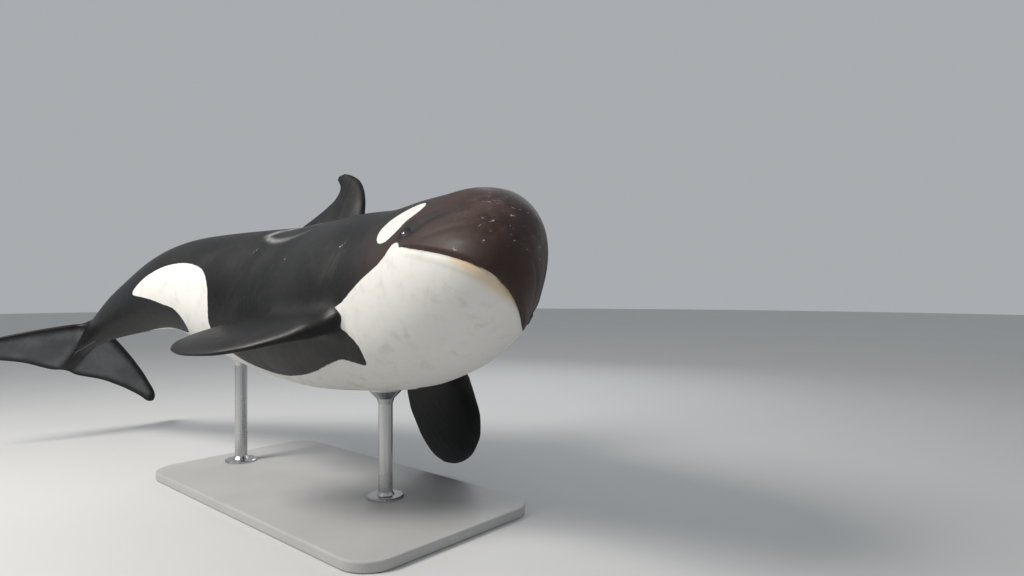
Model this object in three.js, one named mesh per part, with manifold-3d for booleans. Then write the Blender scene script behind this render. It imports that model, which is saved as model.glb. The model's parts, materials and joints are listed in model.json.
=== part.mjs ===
// A life-size still model of an orca, held as it swims by a plain display stand.
// Millimetres, +Z up. The origin is the middle of the stand's underside. The trunk heads along +X.
//
// The body is a row of cross-sections carried along a bent spine. A place on it is given by
// its station, the share of LENGTH from the snout tip, and its turn, the angle from the back's
// midline towards the animal's left. Fins are lofts of thin teardrop sections.

import * as THREE from 'three';
import { mergeVertices } from 'three/addons/utils/BufferGeometryUtils.js';
import Module from 'manifold-3d';

const wasm = await Module();
wasm.setup();

// Driving dimensions
const LENGTH = 5600; // snout tip to the notch of the flukes, along the spine
const GAP = 0.3; // between pieces that meet

// Pose: where the middle of the trunk is, and how it banks
const ROOT_STATION = 0.38;
const ROOT_AT = new THREE.Vector3(-30, 115, 1260);
const NOSE_UP = 1.9; // degrees
const ROLL = -22.4; // degrees, left side down

// Bends of the spine between two stations, in degrees, as the spine is followed tailward:
// side swings the tail end to the animal's left, down drops it, twist lifts the left side
const BENDS = [
  { from: 0.06, to: 0.3, side: -24.1, down: 5.5, twist: 15.3 },
  { from: 0.3, to: 0.55, side: -23.4, down: -2.0, twist: 0 },
  { from: 0.55, to: 0.78, side: 10.3, down: 22.9, twist: 15.9 },
  { from: 0.78, to: 0.93, side: 3.9, down: 7.2, twist: -16.9 },
  { from: 0.92, to: 0.965, side: 0, down: 27.2, twist: 0 },
];
const SPINE_STEPS = 240;

// Cross-sections: station, height above the spine, depth below it, half width, in shares of LENGTH
const SECTIONS = [
  [0.0, 0.0, 0.0, 0.0],
  [0.006, 0.02, 0.0147, 0.0177],
  [0.02, 0.0455, 0.0252, 0.0335],
  [0.045, 0.0718, 0.0378, 0.0492],
  [0.075, 0.0902, 0.0494, 0.062],
  [0.11, 0.1005, 0.0631, 0.0727],
  [0.16, 0.1018, 0.082, 0.0842],
  [0.22, 0.0965, 0.096, 0.0918],
  [0.3, 0.1025, 0.1006, 0.0967],
  [0.38, 0.1035, 0.1025, 0.0957],
  [0.46, 0.0986, 0.0977, 0.0889],
  [0.54, 0.0889, 0.0859, 0.0762],
  [0.62, 0.0752, 0.0684, 0.0596],
  [0.7, 0.0596, 0.0518, 0.043],
  [0.78, 0.0459, 0.0381, 0.0293],
  [0.85, 0.0352, 0.0283, 0.0195],
  [0.905, 0.0264, 0.0215, 0.0137],
  [0.95, 0.0156, 0.0137, 0.0117],
  [0.985, 0.0068, 0.0059, 0.0068],
];
const BODY_END = 0.985;

// Where the body is parted into nodes
const HEAD_END = 0.17;
const CHEST_END = 0.31;
const TORSO_END = 0.55;
const LOIN_END = 0.76;

// Mouth: its line rises in a shallow curve to the gape under the eye
const GAPE = 0.09;
const MOUTH_DEPTH = 89; // below the spine at the front
const MOUTH_RISE = 30; // from the front to the gape
const LIP_GROOVE = { depth: 9, width: 9 };
const LIP_SWELL = { height: 6, width: 14, away: 26 };
const LIP_LINES = [-38, -24, -13, -6, 0, 6, 13, 24, 38]; // grid lines beside the mouth line

// Eyes
const EYE = { station: 0.1, turn: 87, radius: 30, sunk: 22.5 };
const LID = { halfLength: 31, halfHeight: 18.5, thickness: 9, corner: 4, rise: 7, sunk: 1.5, tilt: 12 };

// Blowhole: a crescent slit, hollow side forward, in a low raised rim
const BLOWHOLE = { station: 0.118, turn: 4, radius: 36, slit: 9, depth: 22, arc: 150 };
const BLOWHOLE_RIM = { halfLength: 40, halfWidth: 62, thickness: 24, rise: 9, sunk: 3 };

// Thin edges of all fins: half their thickness
const ROUND_EDGE = 3;

// Dorsal fin: its height, and its two edges as stations for shares of that height
const DORSAL = { height: 526, sunk: 70, halfThickness: 50, tipHalfThickness: 10, flare: 22 };
const DORSAL_LEAD = [[-0.14, 0.35], [0, 0.366], [0.21, 0.3853], [0.5, 0.397], [0.7, 0.4085], [0.86, 0.4235],
  [0.95, 0.4386], [1, 0.458]];
const DORSAL_TRAIL = [[-0.14, 0.538], [0, 0.519], [0.15, 0.5005], [0.3, 0.4842], [0.458, 0.4688], [0.6, 0.4585],
  [0.72, 0.456], [0.8, 0.458], [0.87, 0.4632], [0.93, 0.4682], [0.97, 0.4682], [1, 0.458]];

// Flippers: the half chord for shares of their length; below 0 they narrow inside the chest
const FLIPPER = { station: 0.258, turn: 122.5, length: 970, width: 600, sunk: 300, sweptBack: 50 };
const FLIPPER_THICK = { half: 39, edgeHalf: 7, flare: 16 };
const FLIPPER_HALF_CHORD = [[-0.32, 0.08], [-0.22, 0.28], [-0.12, 0.56], [0, 0.74], [0.17, 0.877], [0.33, 0.96],
  [0.5, 0.943], [0.667, 0.825], [0.79, 0.7], [0.9, 0.5], [0.97, 0.3], [1, 0.01]];
const FLIPPER_RIGHT = { side: -1, sweep: 56.7, droop: 34.7, twist: -12.6 };
const FLIPPER_LEFT = { side: 1, sweep: 28.2, droop: 37.1, twist: 9.8 };

// Flukes: half span, and the two edges as stations for shares of it
const FLUKE = { station: 0.955, halfSpan: 868, halfThickness: 46, tipHalfThickness: 8, flare: 18 };
const FLUKE_LEAD = [[0, 0.89], [0.076, 0.9], [0.229, 0.915], [0.42, 0.935], [0.649, 0.962], [0.855, 0.99],
  [0.977, 1.01], [1, 1.02]];
const FLUKE_TRAIL = [[0, 0.997], [0.05, 1.002], [0.137, 1.0045], [0.34, 1.003], [0.57, 1.008], [0.8, 1.018],
  [0.96, 1.028], [1, 1.0245]];

// Stand
const BASE = { length: 2600, width: 1300, height: 60, corner: 180, bevel: 10 };
const ROD = { radius: 45, footRadius: 115, footHeight: 16, cupRadius: 105, cupDepth: 85, into: 60 };
const ROD_STATIONS = { front: 0.28, rear: 0.56 };

// Grid sizes
const AROUND = 46; // points around a body section, lip lines included
const HEAD_RINGS = 34;
const FIN_AROUND = 24;

// Smooth curve through the rows [x, y] of a table that never overshoots them
function curveThrough(rows, column = 1) {
  const x = rows.map((row) => row[0]);
  const y = rows.map((row) => row[column]);
  const last = rows.length - 1;
  const slope = [];
  for (let i = 0; i < last; i++) {
    slope.push((y[i + 1] - y[i]) / (x[i + 1] - x[i]));
  }
  const tangent = [slope[0]];
  for (let i = 1; i < last; i++) {
    const flat = slope[i - 1] * slope[i] <= 0;
    tangent.push(flat ? 0 : (2 * slope[i - 1] * slope[i]) / (slope[i - 1] + slope[i]));
  }
  tangent.push(slope[last - 1]);
  return (at) => {
    let i = 0;
    while (i < last - 1 && at > x[i + 1]) i++;
    const step = x[i + 1] - x[i];
    const t = (at - x[i]) / step;
    const value = y[i] * (1 + 2 * t) * (1 - t) ** 2 + y[i + 1] * t * t * (3 - 2 * t);
    return value + step * t * (1 - t) * (tangent[i] * (1 - t) - tangent[i + 1] * t);
  };
}

// The same for a fin's edge, smooth in the square root of what is left to the tip, so the tip is round
function tipCurve(rows) {
  const curve = curveThrough(rows.map(([x, y]) => [-Math.sqrt(1 - x), y]));
  return (at) => curve(-Math.sqrt(1 - at));
}

function smoothStep(low, high, x) {
  return THREE.MathUtils.smoothstep(x, low, high);
}

const rad = THREE.MathUtils.degToRad;

// Section sizes are smooth in the square root of the station, so that the snout is round
const rootSections = SECTIONS.map((row) => [Math.sqrt(row[0]), ...row.slice(1)]);
const topCurve = curveThrough(rootSections, 1);
const bottomCurve = curveThrough(rootSections, 2);
const widthCurve = curveThrough(rootSections, 3);

function sectionAt(station) {
  const x = Math.sqrt(station);
  return { top: topCurve(x) * LENGTH, bottom: bottomCurve(x) * LENGTH, width: widthCurve(x) * LENGTH };
}

// The spine is stepped both ways from the root station, turning a little at each step
function bendRate(station) {
  const rate = { side: 0, down: 0, twist: 0 };
  for (const zone of BENDS) {
    const share = (station - zone.from) / (zone.to - zone.from);
    if (share <= 0 || share >= 1) continue;
    const weight = (1 - Math.cos(2 * Math.PI * share)) / (zone.to - zone.from) / SPINE_STEPS;
    for (const turn of ['side', 'down', 'twist']) rate[turn] += weight * zone[turn];
  }
  return rate;
}

function stepTurn(station) {
  const rate = bendRate(station);
  const axes = [[0, 0, 1], [0, 1, 0], [1, 0, 0]].map((axis) => new THREE.Vector3(...axis));
  const turns = [-rate.side, -rate.down, rate.twist].map(rad);
  const whole = new THREE.Quaternion();
  axes.forEach((axis, i) => whole.multiply(new THREE.Quaternion().setFromAxisAngle(axis, turns[i])));
  return whole;
}

function forwardOf(turn) {
  return new THREE.Vector3(1, 0, 0).applyQuaternion(turn);
}

function makeSpine() {
  const root = Math.round(ROOT_STATION * SPINE_STEPS);
  const bank = new THREE.Quaternion().setFromAxisAngle(new THREE.Vector3(0, 1, 0), rad(-NOSE_UP));
  bank.multiply(new THREE.Quaternion().setFromAxisAngle(new THREE.Vector3(1, 0, 0), rad(ROLL)));
  const spine = [];
  spine[root] = { at: ROOT_AT.clone(), turn: bank };
  const half = LENGTH / SPINE_STEPS / 2;
  for (let i = root; i < SPINE_STEPS; i++) {
    const turn = spine[i].turn.clone().multiply(stepTurn((i + 0.5) / SPINE_STEPS));
    const back = forwardOf(spine[i].turn).add(forwardOf(turn)).multiplyScalar(-half);
    spine[i + 1] = { at: spine[i].at.clone().add(back), turn };
  }
  for (let i = root; i > 0; i--) {
    const turn = spine[i].turn.clone().multiply(stepTurn((i - 0.5) / SPINE_STEPS).invert());
    const ahead = forwardOf(spine[i].turn).add(forwardOf(turn)).multiplyScalar(half);
    spine[i - 1] = { at: spine[i].at.clone().add(ahead), turn };
  }
  return spine;
}

const spine = makeSpine();

// Place, forward, left and up at a station; past the last one the spine runs on straight
function frameAt(station) {
  const place = THREE.MathUtils.clamp(station, 0, 1) * SPINE_STEPS;
  const i = Math.min(Math.floor(place), SPINE_STEPS - 1);
  const turn = spine[i].turn.clone().slerp(spine[i + 1].turn, place - i);
  const forward = forwardOf(turn);
  const at = spine[i].at.clone().lerp(spine[i + 1].at, place - i);
  at.addScaledVector(forward, (THREE.MathUtils.clamp(station, 0, 1) - station) * LENGTH);
  const left = new THREE.Vector3(0, 1, 0).applyQuaternion(turn);
  const up = new THREE.Vector3(0, 0, 1).applyQuaternion(turn);
  return { at, forward, left, up };
}

function placeIn(frame, leftward, upward, forward = 0) {
  const point = frame.at.clone();
  point.addScaledVector(frame.left, leftward);
  point.addScaledVector(frame.up, upward);
  return point.addScaledVector(frame.forward, forward);
}

// Height of the mouth line, measured up from the spine
function mouthHeight(station) {
  return -MOUTH_DEPTH + MOUTH_RISE * (station / GAPE) ** 2;
}

// The lips swell a little on both sides of a groove that fades out behind the gape
function lipRelief(station, height) {
  const fade = 1 - smoothStep(GAPE - 0.004, GAPE + 0.012, station);
  const away = height - mouthHeight(station);
  const groove = LIP_GROOVE.depth * Math.exp(-((away / LIP_GROOVE.width) ** 2));
  const swell = LIP_SWELL.height * Math.exp(-(((Math.abs(away) - LIP_SWELL.away) / LIP_SWELL.width) ** 2));
  return fade * (swell - groove);
}

// A point of the skin; turn in radians, grow pushes it out
function skinPoint(station, turn, grow = 0) {
  const size = sectionAt(station);
  const tall = Math.cos(turn) > 0 ? size.top : size.bottom;
  const height = tall * Math.cos(turn);
  const relief = lipRelief(station, height) * smoothStep(0.001, 0.006, station);
  const extra = grow + relief;
  return placeIn(frameAt(station), (size.width + extra) * Math.sin(turn), (tall + extra) * Math.cos(turn));
}

function skinNormal(station, turn) {
  const step = 0.002;
  const along = skinPoint(station - step, turn).sub(skinPoint(station + step, turn));
  const around = skinPoint(station, turn + step).sub(skinPoint(station, turn - step));
  return along.cross(around).normalize();
}

// Turn angles of a ring's left half, back to belly: lines gather at the mouth on the head
function halfTurns(station) {
  const size = sectionAt(station);
  const reach = Math.min(0.9, Math.max(0, -mouthHeight(Math.min(station, GAPE)) / size.bottom));
  const mouth = Math.PI / 2 + Math.asin(reach);
  const radius = Math.hypot(size.bottom * Math.sin(mouth), size.width * Math.cos(mouth));
  const even = smoothStep(GAPE, HEAD_END + 0.05, station);
  const steps = AROUND / 2;
  const beside = LIP_LINES.length;
  const above = Math.round((steps - beside) * 0.62);
  const below = steps + 1 - beside - above;
  const squeeze = Math.min(1, ((Math.PI - mouth) * radius * 0.7) / LIP_LINES[beside - 1]);
  const first = mouth + (LIP_LINES[0] * squeeze) / radius;
  const lastTurn = mouth + (LIP_LINES[beside - 1] * squeeze) / radius;
  const turns = [];
  for (let i = 0; i < above; i++) turns.push((first * i) / above);
  for (const line of LIP_LINES) turns.push(mouth + (line * squeeze) / radius);
  for (let i = 1; i <= below; i++) turns.push(lastTurn + ((Math.PI - lastTurn) * i) / below);
  return turns.map((turn, i) => THREE.MathUtils.lerp(turn, (Math.PI * i) / steps, even));
}

function bodyRing(station, grow = 0) {
  const left = halfTurns(station);
  const right = left.slice(1, -1).reverse().map((turn) => -turn);
  return [...left, ...right].map((turn) => skinPoint(station, turn, grow));
}

function middleOf(ring) {
  const middle = new THREE.Vector3();
  ring.forEach((point) => middle.add(point));
  return middle.divideScalar(ring.length);
}

// A closed skin over rings of equally many points, ended by fans.
// The diagonals of the second half mirror the first, so both faces of a thin fin are split alike.
function loft(rings) {
  const count = rings[0].length;
  const points = [middleOf(rings[0]), ...rings.flat(), middleOf(rings[rings.length - 1])];
  const last = points.length - 1;
  const index = [];
  const id = (ring, i) => 1 + ring * count + (i % count);
  for (let i = 0; i < count; i++) {
    index.push(0, id(0, i + 1), id(0, i));
    index.push(last, id(rings.length - 1, i), id(rings.length - 1, i + 1));
    for (let ring = 0; ring < rings.length - 1; ring++) {
      const [a, b] = [id(ring, i), id(ring, i + 1)];
      const [c, d] = [id(ring + 1, i + 1), id(ring + 1, i)];
      if (i < count / 2) index.push(a, b, c, a, c, d);
      else index.push(a, b, d, b, c, d);
    }
  }
  const geometry = new THREE.BufferGeometry();
  geometry.setAttribute('position', new THREE.Float32BufferAttribute(points.flatMap((p) => p.toArray()), 3));
  geometry.setIndex(index);
  return geometry;
}

// Closed geometry to a solid and back; a solid that came out inside out is turned
function solid(geometry) {
  const bare = geometry.clone();
  bare.deleteAttribute('normal');
  bare.deleteAttribute('uv');
  const merged = mergeVertices(bare, 1e-3);
  const triVerts = Uint32Array.from(merged.index.array);
  const vertProperties = Float32Array.from(merged.attributes.position.array);
  const made = new wasm.Manifold(new wasm.Mesh({ numProp: 3, vertProperties, triVerts }));
  if (made.volume() > 0) return made;
  const turned = triVerts.map((v, i) => triVerts[i - (i % 3) + [0, 2, 1][i % 3]]);
  return new wasm.Manifold(new wasm.Mesh({ numProp: 3, vertProperties, triVerts: turned }));
}

function largest(shape) {
  return shape.decompose().sort((a, b) => b.volume() - a.volume())[0];
}

function geometryOf(shape) {
  const mesh = largest(shape).getMesh();
  const geometry = new THREE.BufferGeometry();
  geometry.setAttribute('position', new THREE.Float32BufferAttribute(mesh.vertProperties, 3));
  geometry.setIndex(new THREE.Uint32BufferAttribute(mesh.triVerts, 1));
  return geometry;
}

// Stations of the rings between two cuts, the end ones held back by half the gap
function stations(from, to, rings) {
  const list = [];
  for (let i = 0; i <= rings; i++) list.push(from + ((to - from) * i) / rings);
  return list;
}

const HALF_GAP = GAP / 2 / LENGTH;
const SNOUT_TIP = 0.0001;
const headStations = [];
for (let i = 0; i <= HEAD_RINGS; i++) headStations.push(SNOUT_TIP + (HEAD_END - SNOUT_TIP) * (i / HEAD_RINGS) ** 1.5);
const lengths = {
  chest: stations(HEAD_END, CHEST_END, 8),
  torso: stations(CHEST_END, TORSO_END, 11),
  loin: stations(TORSO_END, LOIN_END, 9),
  tail_stock: stations(LOIN_END, BODY_END, 12),
};

function bodyLength(list, { grow = 0, open = [HALF_GAP, HALF_GAP] } = {}) {
  const held = [...list];
  held[0] += open[0];
  held[held.length - 1] -= open[1];
  return solid(loft(held.map((station) => bodyRing(station, grow))));
}

const wholeStations = [...headStations, ...Object.values(lengths).flatMap((list) => list.slice(1))];
const cutter = bodyLength(wholeStations, { grow: GAP, open: [0, -HALF_GAP] });

// A thin section from its leading to its trailing edge, as thick as asked a third of the way back
function finRing(point, thickness, normal) {
  const ring = [];
  for (let i = 0; i < FIN_AROUND; i++) {
    const around = (2 * Math.PI * i) / FIN_AROUND;
    const share = (1 - Math.cos(around)) / 2;
    const drop = 0.2969 * Math.sqrt(share) - 0.126 * share - 0.3516 * share ** 2;
    const shape = (drop + 0.2843 * share ** 3 - 0.1036 * share ** 4) * 10;
    const half = thickness * shape + ROUND_EDGE * Math.sin(around) ** 2;
    const side = around < Math.PI ? 1 : -1;
    ring.push(point(share).addScaledVector(normal(share), side * half));
  }
  return ring;
}

// Heights of the sections of a fin, closer together towards its tip
function finShares(from, count) {
  const list = [];
  for (let i = 0; i <= count; i++) {
    const t = i / count;
    list.push(from + (1 - from) * (1 - (1 - t) ** 1.7) * 0.9995);
  }
  return list;
}

function makeDorsalFin() {
  const lead = tipCurve(DORSAL_LEAD);
  const trail = tipCurve(DORSAL_TRAIL);
  const rings = finShares(-DORSAL.sunk / DORSAL.height, 16).map((share) => {
    const flare = Math.exp(-Math.max(share, 0) / 0.07);
    const inner = (1 - Math.max(share, 0)) ** 0.8;
    const half = DORSAL.tipHalfThickness + (DORSAL.halfThickness - DORSAL.tipHalfThickness) * inner;
    const place = (along) => {
      const station = THREE.MathUtils.lerp(lead(share), trail(share), along);
      return { station, frame: frameAt(station) };
    };
    const point = (along) => {
      const { station, frame } = place(along);
      return placeIn(frame, 0, sectionAt(station).top * 0.97 + share * DORSAL.height);
    };
    return finRing(point, half + DORSAL.flare * flare, (along) => place(along).frame.left);
  });
  return solid(loft(rings));
}

function flipperAxes({ side, sweep, droop, twist }) {
  const frame = frameAt(FLIPPER.station);
  const out = frame.left.clone().multiplyScalar(side * Math.cos(rad(droop)));
  out.addScaledVector(frame.up, -Math.sin(rad(droop)));
  const along = out.clone().multiplyScalar(Math.cos(rad(sweep)));
  along.addScaledVector(frame.forward, -Math.sin(rad(sweep)));
  const ahead = frame.forward.clone().multiplyScalar(Math.cos(rad(sweep)));
  ahead.addScaledVector(out, Math.sin(rad(sweep)));
  const flat = ahead.clone().cross(along);
  const chord = ahead.clone().multiplyScalar(Math.cos(rad(twist)));
  chord.addScaledVector(flat, Math.sin(rad(twist)) * side);
  const normal = chord.clone().cross(along).normalize();
  return { along, chord, normal };
}

function makeFlipper(pose) {
  const { along, chord, normal } = flipperAxes(pose);
  const root = skinPoint(FLIPPER.station, rad(FLIPPER.turn) * pose.side);
  const halfChord = tipCurve(FLIPPER_HALF_CHORD);
  const rings = finShares(-FLIPPER.sunk / FLIPPER.length, 18).map((share) => {
    const outer = Math.max(share, 0);
    const half = (FLIPPER.width / 2) * halfChord(share);
    const inner = FLIPPER_THICK.half * (1 - outer) ** 0.75;
    const thick = inner + FLIPPER_THICK.edgeHalf + FLIPPER_THICK.flare * Math.exp(-outer / 0.06);
    const middle = root.clone().addScaledVector(along, share * FLIPPER.length);
    middle.addScaledVector(chord, -FLIPPER.sweptBack * outer ** 4.6);
    const point = (across) => middle.clone().addScaledVector(chord, half * (1 - 2 * across));
    return finRing(point, thick * Math.min(1, halfChord(share) + 0.25), () => normal);
  });
  return solid(loft(rings));
}

function makeFluke(side) {
  const frame = frameAt(FLUKE.station);
  const lead = tipCurve(FLUKE_LEAD);
  const trail = tipCurve(FLUKE_TRAIL);
  const rings = finShares(GAP / 2 / FLUKE.halfSpan, 20).map((share) => {
    const inner = (1 - share) ** 0.8;
    const half = FLUKE.tipHalfThickness + (FLUKE.halfThickness - FLUKE.tipHalfThickness) * inner;
    const point = (across) => {
      const station = THREE.MathUtils.lerp(lead(share), trail(share), across);
      return placeIn(frame, side * share * FLUKE.halfSpan, 0, (FLUKE.station - station) * LENGTH);
    };
    return finRing(point, half + FLUKE.flare * Math.exp(-share / 0.12), () => frame.up);
  });
  return solid(loft(rings));
}

// A closed tube along an ellipse, for lids and the rim of the blowhole: its section is an ellipse
// too, as wide as asked at the middle of its long sides and narrower at its two corners
function ellipseTube(at, x, y, { halfX, halfY, wide, corner = wide, rise, steps = 24, sides = 8 }) {
  const rings = [];
  const normal = x.clone().cross(y);
  const points = [];
  for (let i = 0; i < steps; i++) {
    const angle = (2 * Math.PI * i) / steps;
    const out = x.clone().multiplyScalar(Math.cos(angle)).addScaledVector(y, Math.sin(angle));
    const middle = at.clone().addScaledVector(x, halfX * Math.cos(angle)).addScaledVector(y, halfY * Math.sin(angle));
    const across = corner + (wide - corner) * Math.sin(angle) ** 2;
    for (let j = 0; j < sides; j++) {
      const turn = (2 * Math.PI * j) / sides;
      const point = middle.clone().addScaledVector(out, across * Math.cos(turn));
      points.push(point.addScaledVector(normal, (rise * across * Math.sin(turn)) / wide));
    }
    rings.push(i);
  }
  const index = [];
  for (const i of rings) {
    for (let j = 0; j < sides; j++) {
      const [a, b] = [i * sides + j, i * sides + ((j + 1) % sides)];
      const next = ((i + 1) % steps) * sides;
      const [c, d] = [next + ((j + 1) % sides), next + j];
      index.push(a, b, c, a, c, d);
    }
  }
  const geometry = new THREE.BufferGeometry();
  geometry.setAttribute('position', new THREE.Float32BufferAttribute(points.flatMap((p) => p.toArray()), 3));
  geometry.setIndex(index);
  return solid(geometry);
}

function eyeFrame(side) {
  const turn = rad(EYE.turn) * side;
  const normal = skinNormal(EYE.station, turn);
  if (normal.dot(frameAt(EYE.station).left) * side < 0) normal.negate();
  const skin = skinPoint(EYE.station, turn);
  const along = frameAt(EYE.station).forward.clone();
  along.addScaledVector(normal, -along.dot(normal)).normalize();
  const up = normal.clone().cross(along).multiplyScalar(-side).normalize();
  const tilted = along.clone().multiplyScalar(Math.cos(rad(LID.tilt))).addScaledVector(up, -Math.sin(rad(LID.tilt)));
  const across = up.clone().multiplyScalar(Math.cos(rad(LID.tilt))).addScaledVector(along, Math.sin(rad(LID.tilt)));
  return { at: skin.clone().addScaledVector(normal, -EYE.sunk), skin, normal, along: tilted, up: across };
}

function eyeBall(side, grow = 0) {
  const ball = new THREE.SphereGeometry(EYE.radius + grow, 16, 10);
  const { at } = eyeFrame(side);
  ball.translate(at.x, at.y, at.z);
  return solid(ball);
}

function lids(side) {
  const { skin, normal, along, up } = eyeFrame(side);
  const at = skin.clone().addScaledVector(normal, -LID.sunk);
  const { halfLength: halfX, halfHeight: halfY, thickness: wide, corner, rise } = LID;
  return ellipseTube(at, along, up, { halfX, halfY, wide, corner, rise });
}

function blowholeFrame() {
  const turn = rad(BLOWHOLE.turn);
  const skin = skinPoint(BLOWHOLE.station, turn);
  const { forward, up } = frameAt(BLOWHOLE.station);
  const normal = skinNormal(BLOWHOLE.station, turn);
  if (normal.dot(up) < 0) normal.negate();
  const along = forward.clone().addScaledVector(normal, -forward.dot(normal)).normalize();
  return { skin, normal, along, left: normal.clone().cross(along) };
}

function blowholeRim() {
  const { skin, normal, along, left } = blowholeFrame();
  const { halfLength: halfX, halfWidth: halfY, thickness: wide, rise, sunk } = BLOWHOLE_RIM;
  return ellipseTube(skin.clone().addScaledVector(normal, -sunk), along, left, { halfX, halfY, wide, rise });
}

function blowholeSlit() {
  const { skin, normal, along, left } = blowholeFrame();
  const { radius, slit, depth, arc } = BLOWHOLE;
  const half = rad(arc) / 2;
  const shape = new THREE.Shape();
  shape.absarc(radius, 0, radius + slit / 2, Math.PI - half, Math.PI + half, false);
  shape.absarc(radius - slit * 0.3, 0, radius - slit / 2, Math.PI + half, Math.PI - half, true);
  const blade = new THREE.ExtrudeGeometry(shape, { depth: depth * 2, bevelEnabled: false, curveSegments: 12 });
  blade.translate(-radius * 0.55, 0, -depth);
  blade.applyMatrix4(new THREE.Matrix4().makeBasis(along, left, normal));
  blade.translate(skin.x, skin.y, skin.z);
  return solid(blade);
}

// The room that the lower jaw takes: below the mouth line and ahead of a slanted cut at the gape
function jawRoom(grow) {
  const mouth = stations(-0.012, GAPE, 12).map((station) => {
    return [station * LENGTH, mouthHeight(Math.max(station, 0)) + grow];
  });
  const behind = GAPE * LENGTH + grow;
  mouth[mouth.length - 1][0] = behind;
  const outline = [...mouth, [behind + 12, -130], [behind + 40, -230], [behind + 90, -430], [200, -430], [-67, -430]];
  const reach = 520;
  const rings = [-reach, 0, reach].map((leftward) => outline.map(([ahead, height]) => {
    const frame = frameAt(Math.max(ahead, 0) / LENGTH);
    return placeIn(frame, leftward, height, Math.min(ahead, 0) * -1);
  }));
  return solid(loft(rings));
}

function makeHead() {
  let head = bodyLength(headStations, { open: [0, HALF_GAP] });
  head = head.add(blowholeRim()).subtract(blowholeSlit());
  for (const side of [-1, 1]) {
    head = head.add(lids(side)).subtract(eyeBall(side, GAP));
  }
  return { skull: head.subtract(jawRoom(GAP / 2)), jaw: head.intersect(jawRoom(-GAP / 2)) };
}

function makeBase() {
  const { length, width, height, corner, bevel } = BASE;
  const [x, y] = [length / 2 - bevel, width / 2 - bevel];
  const outline = new THREE.Shape();
  outline.moveTo(x, corner - y);
  outline.absarc(x - corner, y - corner, corner, 0, Math.PI / 2, false);
  outline.absarc(corner - x, y - corner, corner, Math.PI / 2, Math.PI, false);
  outline.absarc(corner - x, corner - y, corner, Math.PI, 1.5 * Math.PI, false);
  outline.absarc(x - corner, corner - y, corner, 1.5 * Math.PI, 2 * Math.PI, false);
  const plate = new THREE.ExtrudeGeometry(outline, {
    depth: height - 2 * bevel, bevelThickness: bevel, bevelSize: bevel, bevelSegments: 2, curveSegments: 8,
  });
  plate.translate(0, 0, bevel);
  return solid(plate);
}

// A rod stands on the base with a round foot and ends in a cup under the belly, cut to the belly's form
function makeRod(station) {
  const { at } = frameAt(station);
  const { radius, footRadius, footHeight, cupRadius, cupDepth, into } = ROD;
  const foot = BASE.height + GAP;
  const belly = at.z - sectionAt(station).bottom;
  const profile = [
    [0, foot], [footRadius, foot], [footRadius, foot + footHeight * 0.7], [footRadius * 0.94, foot + footHeight],
    [radius * 1.3, foot + footHeight * 1.2], [radius, foot + footHeight * 2.4],
    [radius, belly - cupDepth], [radius * 1.25, belly - cupDepth * 0.6], [cupRadius * 0.85, belly - cupDepth * 0.2],
    [cupRadius, belly], [cupRadius, belly + into], [0, belly + into],
  ];
  const rod = new THREE.LatheGeometry(profile.map(([r, z]) => new THREE.Vector2(r, z)), 20);
  rod.rotateX(Math.PI / 2);
  rod.translate(at.x, at.y, 0);
  return solid(rod).subtract(cutter);
}

const finishes = {
  skin: { color: 0x151618, roughness: 0.45, metalness: 0 },
  eye: { color: 0x0b0908, roughness: 0.12, metalness: 0 },
  base: { color: 0xc9c8c4, roughness: 0.6, metalness: 0 },
  rod: { color: 0x9a9da1, roughness: 0.35, metalness: 0.9 },
};

const orca = new THREE.Group();
orca.name = 'orca_display_model';

function addNode(name, shape, finish) {
  const mesh = new THREE.Mesh(geometryOf(shape), new THREE.MeshStandardMaterial(finishes[finish]));
  mesh.name = name;
  orca.add(mesh);
}

const { skull, jaw } = makeHead();
addNode('head', skull, 'skin');
addNode('lower_jaw', jaw, 'skin');
for (const [name, list] of Object.entries(lengths)) {
  const open = [HALF_GAP, name === 'tail_stock' ? 0 : HALF_GAP];
  addNode(name, bodyLength(list, { open }), 'skin');
}
addNode('dorsal_fin', makeDorsalFin().subtract(cutter), 'skin');
addNode('flipper_right', makeFlipper(FLIPPER_RIGHT).subtract(cutter), 'skin');
addNode('flipper_left', makeFlipper(FLIPPER_LEFT).subtract(cutter), 'skin');
addNode('fluke_right', makeFluke(-1).subtract(cutter), 'skin');
addNode('fluke_left', makeFluke(1).subtract(cutter), 'skin');
addNode('eye_right', eyeBall(-1), 'eye');
addNode('eye_left', eyeBall(1), 'eye');
addNode('stand_base', makeBase(), 'base');
addNode('stand_rod_front', makeRod(ROD_STATIONS.front), 'rod');
addNode('stand_rod_rear', makeRod(ROD_STATIONS.rear), 'rod');

export default orca;
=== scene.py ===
# %% [markdown]
# # An orca, life size, on a display stand
# The solids of the model come packed in a fixed frame: head, jaw, trunk, tail, fins, eyes and stand.
# This lesson covers the parted flesh with one seamless skin, gives the skin its black and white
# markings, lids, lips and scars, makes the eyes, finishes the stand and sets up a studio.
# The script starts by loading the frame.

# %% Load the frame
import json
import math

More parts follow.
